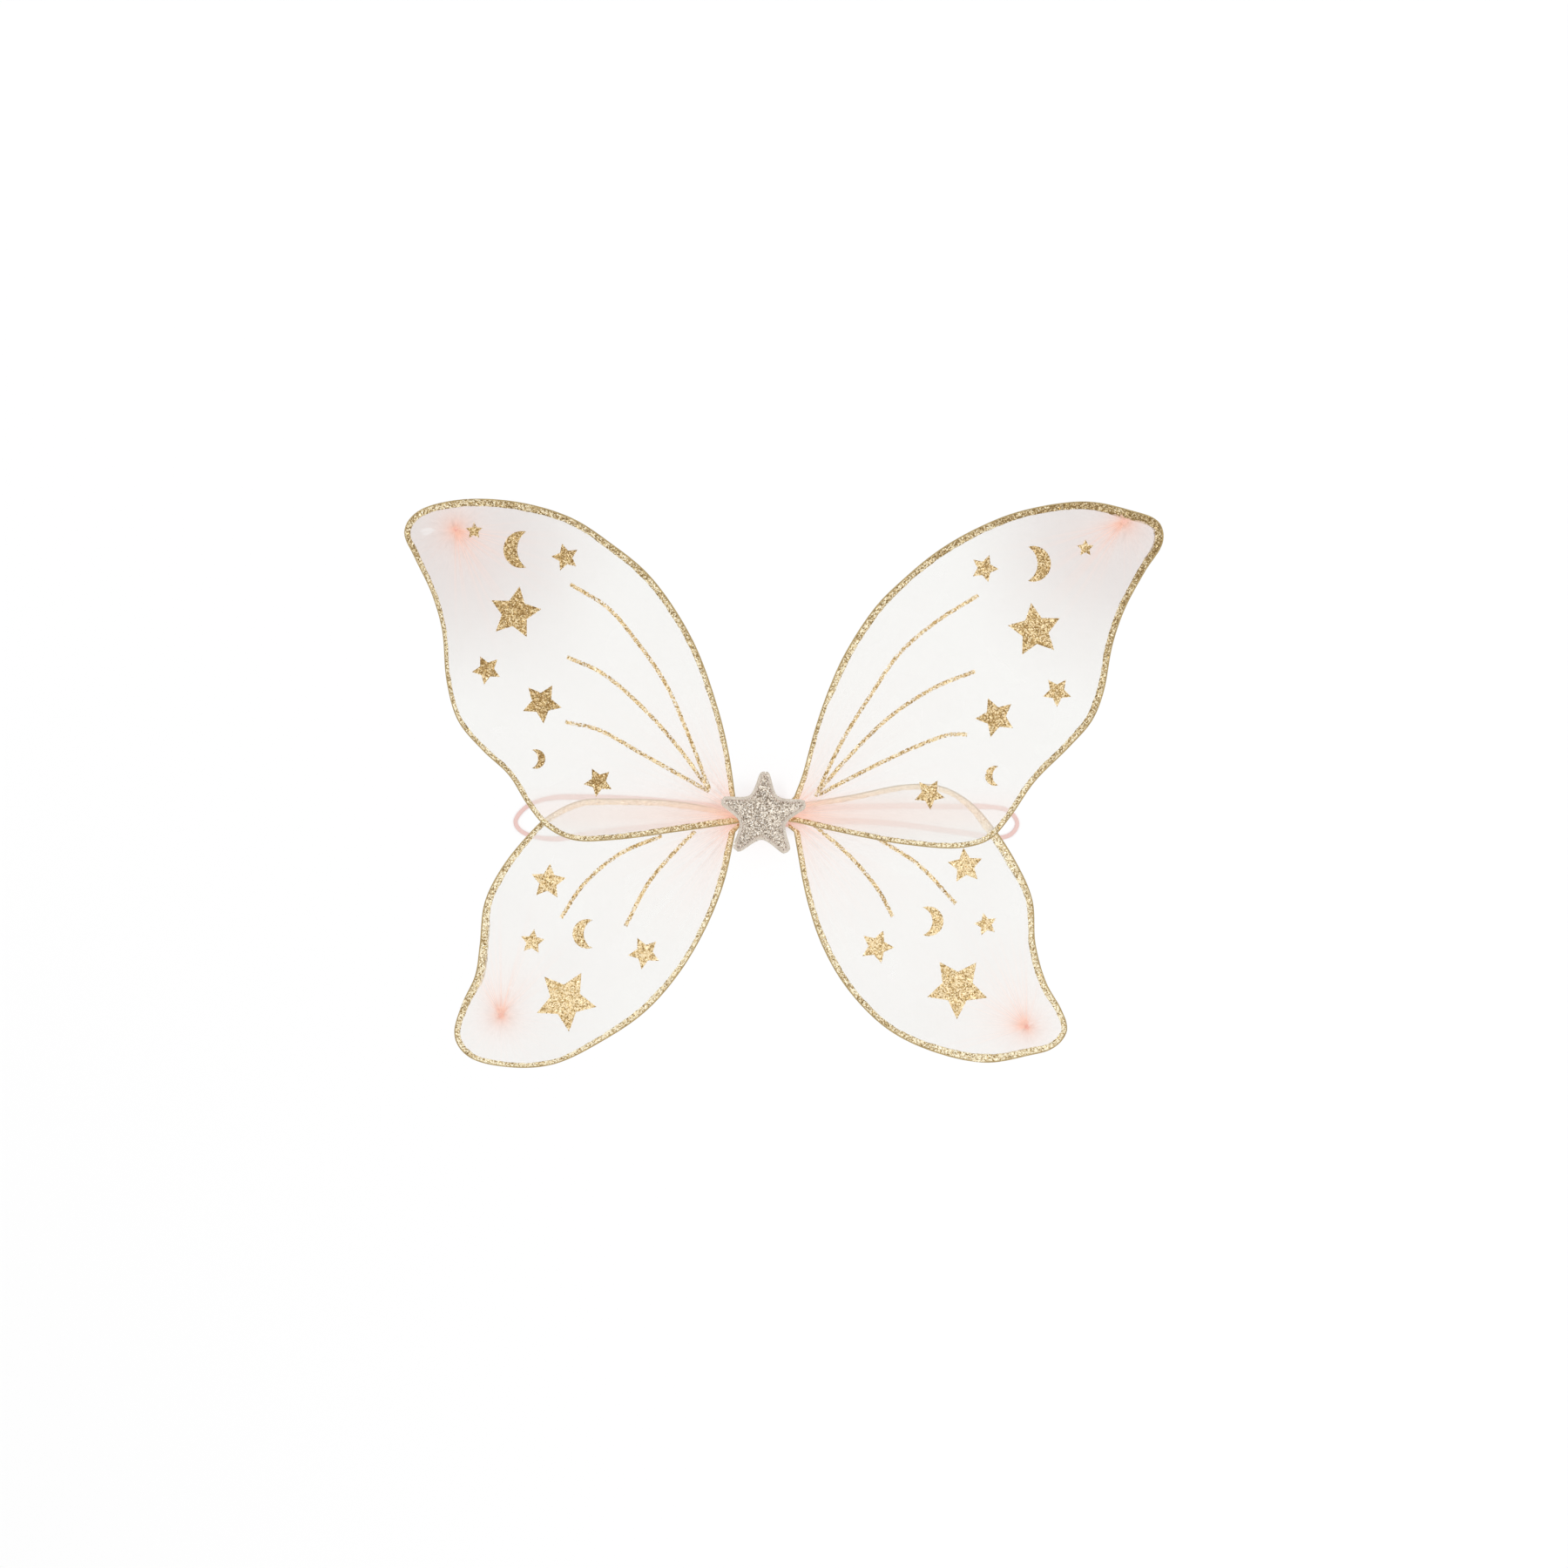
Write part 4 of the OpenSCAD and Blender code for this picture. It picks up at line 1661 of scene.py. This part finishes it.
def puff(made: bpy.types.Object, pressure: float, cap: float) -> None:
    """Swells a stuffed piece, by simulating its cloth with air pressed into it.

    Args:
        made: the closed piece.
        pressure: how hard the stuffing presses.
        cap: the furthest that any point may move, in metres.
    """
    mesh = made.data
    before = np.array([v.co for v in mesh.vertices], float).reshape(-1, 3)
    modifier = made.modifiers.new("cloth", "CLOTH")
    settings = modifier.settings
    settings.quality = 10
    settings.mass = 0.3
    settings.tension_stiffness = settings.compression_stiffness = 25.0
    settings.use_pressure = True
    settings.uniform_pressure_force = pressure
    settings.effector_weights.gravity = 0.0
    modifier.collision_settings.use_collision = False
    scene = bpy.context.scene
    for step in range(1, 21):
        scene.frame_set(step)
    shown = made.evaluated_get(bpy.context.evaluated_depsgraph_get()).data
    after = np.array([v.co for v in shown.vertices], float).reshape(-1, 3)
    made.modifiers.remove(modifier)
    move = after - before
    size = np.linalg.norm(move, axis=1)
    mean, most = size.mean() / MM, size.max() / MM
    LOG.info("%s: the cloth moved by %.2f mm on average, %.2f mm at most", made.name, mean, most)
    kept = before + move * (np.minimum(size, cap) / np.maximum(size, 1e-12))[:, None]
    mesh.vertices.foreach_set("co", kept.astype(np.float32).reshape(-1))
    mesh.update()
    scene.frame_set(1)


@dataclass
class Star:
    """The padded glitter star, with its piped edge."""

    pieces: list[bpy.types.Object] = field(default_factory=list)

    def build(self) -> None:
        """Makes the star's cushion, its piping, its seam stitches and its loose flakes."""
        outline = spaced(upper_loops("star_face")[0][:, :2], 0.8 * MM, closed=True)
        low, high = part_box("star_backing")[0][2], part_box("star_face")[1][2]
        pillow = cushion(
            "star_cushion", outline, low, high - 0.2 * MM, 5 * MM, 10 * MM, 1.1 * MM, material(CHAMPAGNE)
        )
        puff(pillow, 4.0, 1.3 * MM)
        middle = box_of("star_welt")[2][2]
        slope = np.gradient(outline, axis=0)
        side = unit(np.column_stack([slope[:, 1], -slope[:, 0]]))
        side *= np.sign((side * (outline - outline.mean(0))).sum(1).mean())
        line = np.column_stack([outline + side * 0.75 * MM, np.full(len(outline), middle)])
        piping = TUBES.along("star_piping", line, 1.0 * MM, material(PIPING), closed=True, sides=16)
        inner = np.column_stack([outline - side * 0.55 * MM, np.full(len(outline), middle + 1.0 * MM)])
        stitches = STITCHES.along("star_stitches", inner, 2.0 * MM, 1.1 * MM, 0.16 * MM, material(THREAD))
        flakes = FLAKES.over("star_flakes", pillow, 9e5, 0.36 * MM, material(CHAMPAGNE_FLAKE))
        rim = FLAKES.over("star_piping_flakes", piping, 5e5, 0.3 * MM, material(CHAMPAGNE_FLAKE))
        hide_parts("star_face", "star_padding", "star_backing")
        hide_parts("star_welt")
        for made, slot in (
            (pillow, "champagne_glitter"), (piping, "champagne_glitter"), (stitches, "thread"),
            (flakes, "champagne_glitter"), (rim, "champagne_glitter"),
        ):
            made.visible_shadow = made.visible_diffuse = False
            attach(made, "centre")
            self.pieces.append(made)
        LOG.info("star: %d pieces, %.0f mm round", len(self.pieces), length_of(outline) / MM)


@dataclass
class Middle:
    """The wrapped bundle that the wings run into, its binding thread, and the pad against the wearer's back."""

    pieces: list[bpy.types.Object] = field(default_factory=list)

    def keep(self, made: bpy.types.Object, slot: str, *nodes: str) -> bpy.types.Object:
        """Fixes a piece to the centre.

        Args:
            made: the piece.
            slot: not used.
            nodes: the CAD nodes that it stands for.

        Returns:
            The piece.
        """
        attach(made, "centre")
        if nodes:
            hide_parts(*nodes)
        self.pieces.append(made)
        return made

    def wrap(self) -> bpy.types.Object:
        """The nylon wound round the stems, waisted under the thread and open in folds at both ends.

        Returns:
            The piece.
        """
        _, _, centre, half = box_of("centre_wrap")
        turns = np.linspace(0, math.tau, 96, endpoint=False)
        shares = np.concatenate([[-0.9, -0.94, -1.0], np.linspace(-0.99, 0.99, 45), [1.0, 0.94, 0.9]])
        sizes = np.concatenate([[0.2, 0.75, 0.93], 0.9 + 0.1 * np.linspace(-1, 1, 45) ** 2, [0.93, 0.75, 0.2]])
        rings = []
        for share, size in zip(shares, sizes, strict=True):
            waist = 0.13 * math.exp(-((share * half[0] / (3.4 * MM)) ** 2))
            folds = (0.03 + 0.05 * share * share) * wobble(turns * 11 + share * 0.9, math.tau, 5)
            folds += 0.02 * wobble(turns * 23 - share * 1.7, math.tau, 6)
            far = (size - waist) * (1 + folds)
            rings.append(np.column_stack([
                np.full(96, centre[0] + share * half[0]), centre[1] + far * half[1] * np.cos(turns),
                centre[2] + far * half[2] * np.sin(turns),
            ]))
        return swept("centre_wrap_cloth", np.array(rings), material(WRAP))

    def coil(self) -> bpy.types.Object:
        """The binding thread: seven turns side by side.

        Returns:
            The piece.
        """
        low, high, centre, half = box_of("binding_thread")
        count, thick = 7, 0.3 * MM
        turn = np.linspace(0, count * math.tau, count * 36)
        across = np.linspace(low[0] + thick, high[0] - thick, len(turn))
        wide, tall = half[1] - thick, half[2] - thick
        line = np.column_stack([across, centre[1] + wide * np.cos(turn), centre[2] + tall * np.sin(turn)])
        return TUBES.along("binding_thread_coil", line, thick, material(THREAD), sides=8)

    def build(self) -> None:
        """Makes the pieces and fixes them to the centre."""
        self.keep(self.wrap(), "pink_nylon", "centre_wrap", "stem_bundle")
        self.keep(self.coil(), "thread", "binding_thread")
        loop = spaced(upper_loops("back_pad")[0][:, :2], 1.0 * MM, closed=True)
        low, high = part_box("back_pad")
        pad = cushion("back_pad_felt", loop, low[2], high[2], 1.6 * MM, 1.6 * MM, 1.3 * MM, material(FELT))
        self.keep(pad, "pink_felt", "back_pad")
        centre = loop.mean(0)
        ring = centre + (loop - centre) * 0.82
        for name, face in (("back_pad_stitches", low), ("back_pad_upper_stitches", high)):
            line = np.column_stack([ring, np.full(len(ring), face[2] + 0.02 * MM)])
            self.keep(STITCHES.along(name, line, 3.0 * MM, 1.9 * MM, 0.24 * MM, material(THREAD)), "thread")
        for side in Side:
            self.anchor(side)
        LOG.info("centre: %d pieces", len(self.pieces))

    def anchor(self, side: Side) -> None:
        """The folded tab that holds both ends of one arm loop, sewn down with a zigzag.

        Args:
            side: which side.
        """
        node = f"elastic_anchor_{side.value}"
        low, high, _, _ = box_of(node)
        corners = np.array([(low[0], low[1]), (high[0], low[1]), (high[0], high[1]), (low[0], high[1])])
        loop = divided(corners, 0.6 * MM)
        tab = cushion(f"{node}_tab", loop, low[2], high[2], 0.7 * MM, 0.9 * MM, 0.6 * MM, material(FELT))
        self.keep(tab, "pink_felt", node)
        steps = np.arange(15)
        for name, z in (("stitches", high[2]), ("lower_stitches", low[2] + 0.05 * MM)):
            across = low[0] + (high[0] - low[0]) * (0.3 + 0.4 * (steps % 2))
            along = np.linspace(low[1] + 1 * MM, high[1] - 1 * MM, 15)
            made = STITCHES.along(
                f"{node}_{name}", np.column_stack([across, along, np.full(15, z)]), 1.5 * MM, 1.3 * MM, 0.2 * MM,
                material(THREAD), closed=False,
            )
            self.keep(made, "thread")


# ----------------------------------------------------------------- arm loops

# The middle of each elastic, from its tab and back to it, in millimetres.
LEFT_ROUTE = [
    (-17.9, 4), (-26, 5), (-44, 7), (-64, 9), (-84, 10.5), (-112, 11.5), (-134, 11), (-149, 6), (-157, -4),
    (-150, -12), (-132, -15), (-112, -12), (-88, -9), (-64, -7), (-44, -5.5), (-26, -4.5), (-17.9, -4),
]
RIGHT_ROUTE = [
    (18.9, 4), (27, 4.5), (44, 5), (63, 5.5), (91, 6), (119, 5.5), (140, 5.5), (155, 3), (161, -6), (152, -14),
    (126, -11), (104, -8), (84, -5.5), (63, -4), (44, -4), (27, -4), (18.9, -4),
]


@dataclass
class ArmLoop:
    """A flat elastic that runs out under the wings and back, for the wearer's arm."""

    side: Side
    route: Sequence[tuple[float, float]]
    width: float = 3.4 * MM
    thick: float = 0.9 * MM

    def build(self) -> None:
        gap = 1.5 * MM
        line = spaced(np.array(self.route) * MM, gap)
        bend = unit(np.gradient(line, axis=0))
        turn = np.abs(np.gradient(np.unwrap(np.arctan2(bend[:, 1], bend[:, 0]))))
        smooth = np.convolve(turn, np.ones(15) / 15, mode="same")
        narrow = 1 - 0.24 * eased(smooth / 0.05)
        across = np.column_stack([-bend[:, 1], bend[:, 0]])
        corner = np.linspace(0, math.tau, 16, endpoint=False)
        square = np.sign(np.cos(corner)) * np.abs(np.cos(corner)) ** 0.55
        tall = np.sign(np.sin(corner)) * np.abs(np.sin(corner)) ** 0.7
        half = self.width / 2 * narrow * (1 + 0.03 * wobble(np.arange(len(line)) * gap, 20 * MM, 4))
        flat = line[:, None] + across[:, None] * (half[:, None] * square[None])[..., None]
        height = self.thick / 2 * (1 + tall)
        rings = np.concatenate([flat, np.broadcast_to(height[None, :, None], (len(line), 16, 1))], axis=2)
        made = swept(f"arm_loop_{self.side.value}", rings, material(ELASTIC), map_name="length")
        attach(made, f"{self.side.value}_arm_loop")
        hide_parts(f"arm_elastic_{self.side.value}")
        LOG.info("%s arm loop: %.0f mm of elastic", self.side.value, length_of(line) / MM)


# -------------------------------------------------------------------- studio


@dataclass(frozen=True)
class Lamp:
    """A rectangular soft light."""

    name: str
    place: tuple[float, float, float]
    size: float
    power: float

    def hang(self) -> None:
        """Puts the light in the scene, facing the wings."""
        data = bpy.data.lights.new(self.name, "AREA")
        data.shape = "SQUARE"
        data.size = self.size
        data.energy = self.power
        made = bpy.data.objects.new(self.name, data)
        made.location = self.place
        made.rotation_euler = (-Vector(self.place)).to_track_quat("-Z", "Y").to_euler()
        bpy.context.scene.collection.objects.link(made)


LAMPS = (
    Lamp("key_light", (-1.5, 1.2, 2.2), 0.8, 9.0),
    Lamp("fill_light", (1.7, 0.6, 2.0), 0.7, 7.0),
    Lamp("low_light", (0.4, -1.9, 1.6), 0.6, 5.0),
)
VIEW_MIDDLE = (13.2 * MM, 19.8 * MM)
VIEW_HEIGHT = 2.0
VIEW_WIDTH = 0.99
WING_HEIGHT = 8 * MM
SKY = 0.86
FLOOR_HALF = 4.0


def build_studio() -> None:
    """The camera straight above, the soft lights and the plain pale floor."""
    scene = bpy.context.scene
    camera = bpy.data.cameras.new("camera")
    camera.sensor_width = 36.0
    camera.lens = camera.sensor_width * (VIEW_HEIGHT - WING_HEIGHT) / VIEW_WIDTH
    made = bpy.data.objects.new("camera", camera)
    made.location = (*VIEW_MIDDLE, VIEW_HEIGHT)
    scene.collection.objects.link(made)
    scene.camera = made
    for lamp in LAMPS:
        lamp.hang()
    world = bpy.data.worlds.new("studio")
    world.use_nodes = True
    sky = world.node_tree.nodes["Background"]
    sky.inputs["Color"].default_value = (1.0, 1.0, 1.0, 1.0)
    sky.inputs["Strength"].default_value = SKY
    scene.world = world
    scene.view_settings.view_transform = "Standard"
    corners = np.array([(-1, -1, 0), (1, -1, 0), (1, 1, 0), (-1, 1, 0)]) * FLOOR_HALF
    piece("floor", corners, [(0, 1, 2, 3)], material(FLOOR))


# ---------------------------------------------------------------------- main

UPPER_LEFT = dict(
    side=Side.LEFT, level=Level.UPPER,
    widths=(
        (0, 2.8), (0.08, 2.9), (0.16, 3.4), (0.25, 4.0), (0.31, 3.6), (0.38, 4.5), (0.44, 4.1),
        (0.52, 3.2), (0.61, 2.1), (0.68, 2.4), (0.76, 2.8), (0.85, 2.9), (0.92, 3.3), (0.96, 3.7),
        (1, 3.7),
    ),
    rays=math.radians(-48), spread=math.radians(62),
    tones=(
        (0, 0.06), (0.15, 0.04), (0.3, -0.03), (0.47, -0.04), (0.55, 0.02), (0.8, 0.07), (0.92, 0.0),
        (1, 0.04),
    ),
    print_tone=-0.1, bumps=(0.425,),
)
UPPER_RIGHT = dict(
    side=Side.RIGHT, level=Level.UPPER,
    widths=(
        (0, 3.0), (0.06, 2.3), (0.1, 2.3), (0.115, 3.8), (0.2, 4.1), (0.24, 3.5), (0.28, 4.1), (0.37, 3.9),
        (0.42, 4.5), (0.44, 5.7), (0.5, 5.4), (0.53, 4.0), (0.62, 3.8), (0.67, 4.2), (0.71, 3.6),
        (0.8, 3.0), (0.92, 2.8), (1, 2.9),
    ),
    rays=math.radians(-146), spread=math.radians(42),
    tones=(
        (0, 0.06), (0.1, 0.08), (0.2, 0.0), (0.3, -0.08), (0.4, -0.16), (0.45, -0.21), (0.5, -0.21),
        (0.57, -0.09), (0.64, -0.02), (0.72, 0.04), (0.86, 0.1), (1, 0.0),
    ),
    print_tone=0.0, bumps=(0.415,),
)
LOWER_LEFT = dict(
    side=Side.LEFT, level=Level.LOWER,
    widths=(
        (0, 3.4), (0.1, 3.6), (0.2, 3.6), (0.25, 3.0), (0.3, 4.0), (0.35, 4.1), (0.38, 5.0), (0.43, 5.4),
        (0.47, 3.7), (0.56, 2.7), (0.65, 2.6), (0.74, 3.7), (0.78, 3.6), (0.83, 2.8), (0.9, 3.2),
        (0.95, 3.8), (1, 3.2),
    ),
    rays=math.radians(88), spread=math.radians(60),
    tones=(
        (0, 0.3), (0.2, 0.3), (0.24, 0.05), (0.42, 0.07), (0.55, 0.11), (0.85, 0.16), (0.95, 0.08),
        (1, 0.1),
    ),
    print_tone=0.12, bumps=(0.47,),
)
LOWER_RIGHT = dict(
    side=Side.RIGHT, level=Level.LOWER,
    widths=(
        (0, 3.0), (0.2, 3.2), (0.25, 5.2), (0.3, 5.4), (0.34, 3.8), (0.38, 3.5), (0.43, 4.1), (0.51, 3.0),
        (0.55, 4.0), (0.61, 5.0), (0.66, 4.5), (0.72, 3.3), (0.78, 3.3), (0.84, 3.8), (0.91, 3.2),
        (1, 3.0),
    ),
    rays=math.radians(140), spread=math.radians(78),
    tones=(
        (0, 0.3), (0.22, 0.3), (0.29, 0.12), (0.42, 0.08), (0.55, 0.13), (0.65, 0.14), (0.75, 0.04),
        (0.9, 0.12), (1, 0.1),
    ),
    print_tone=0.12, bumps=(0.62,),
)


def main() -> None:
    """Builds the wings, the star, the centre and the arm loops, and lights them."""
    build_studio()
    ArmLoop(Side.LEFT, LEFT_ROUTE).build()
    ArmLoop(Side.RIGHT, RIGHT_ROUTE).build()
    Middle().build()
    for fields in (LOWER_LEFT, LOWER_RIGHT, UPPER_LEFT, UPPER_RIGHT):
        Wing(**fields).build()
    Star().build()


if __name__ == "__main__":
    logging.basicConfig(level=logging.INFO, format="%(name)s: %(message)s")
    main()
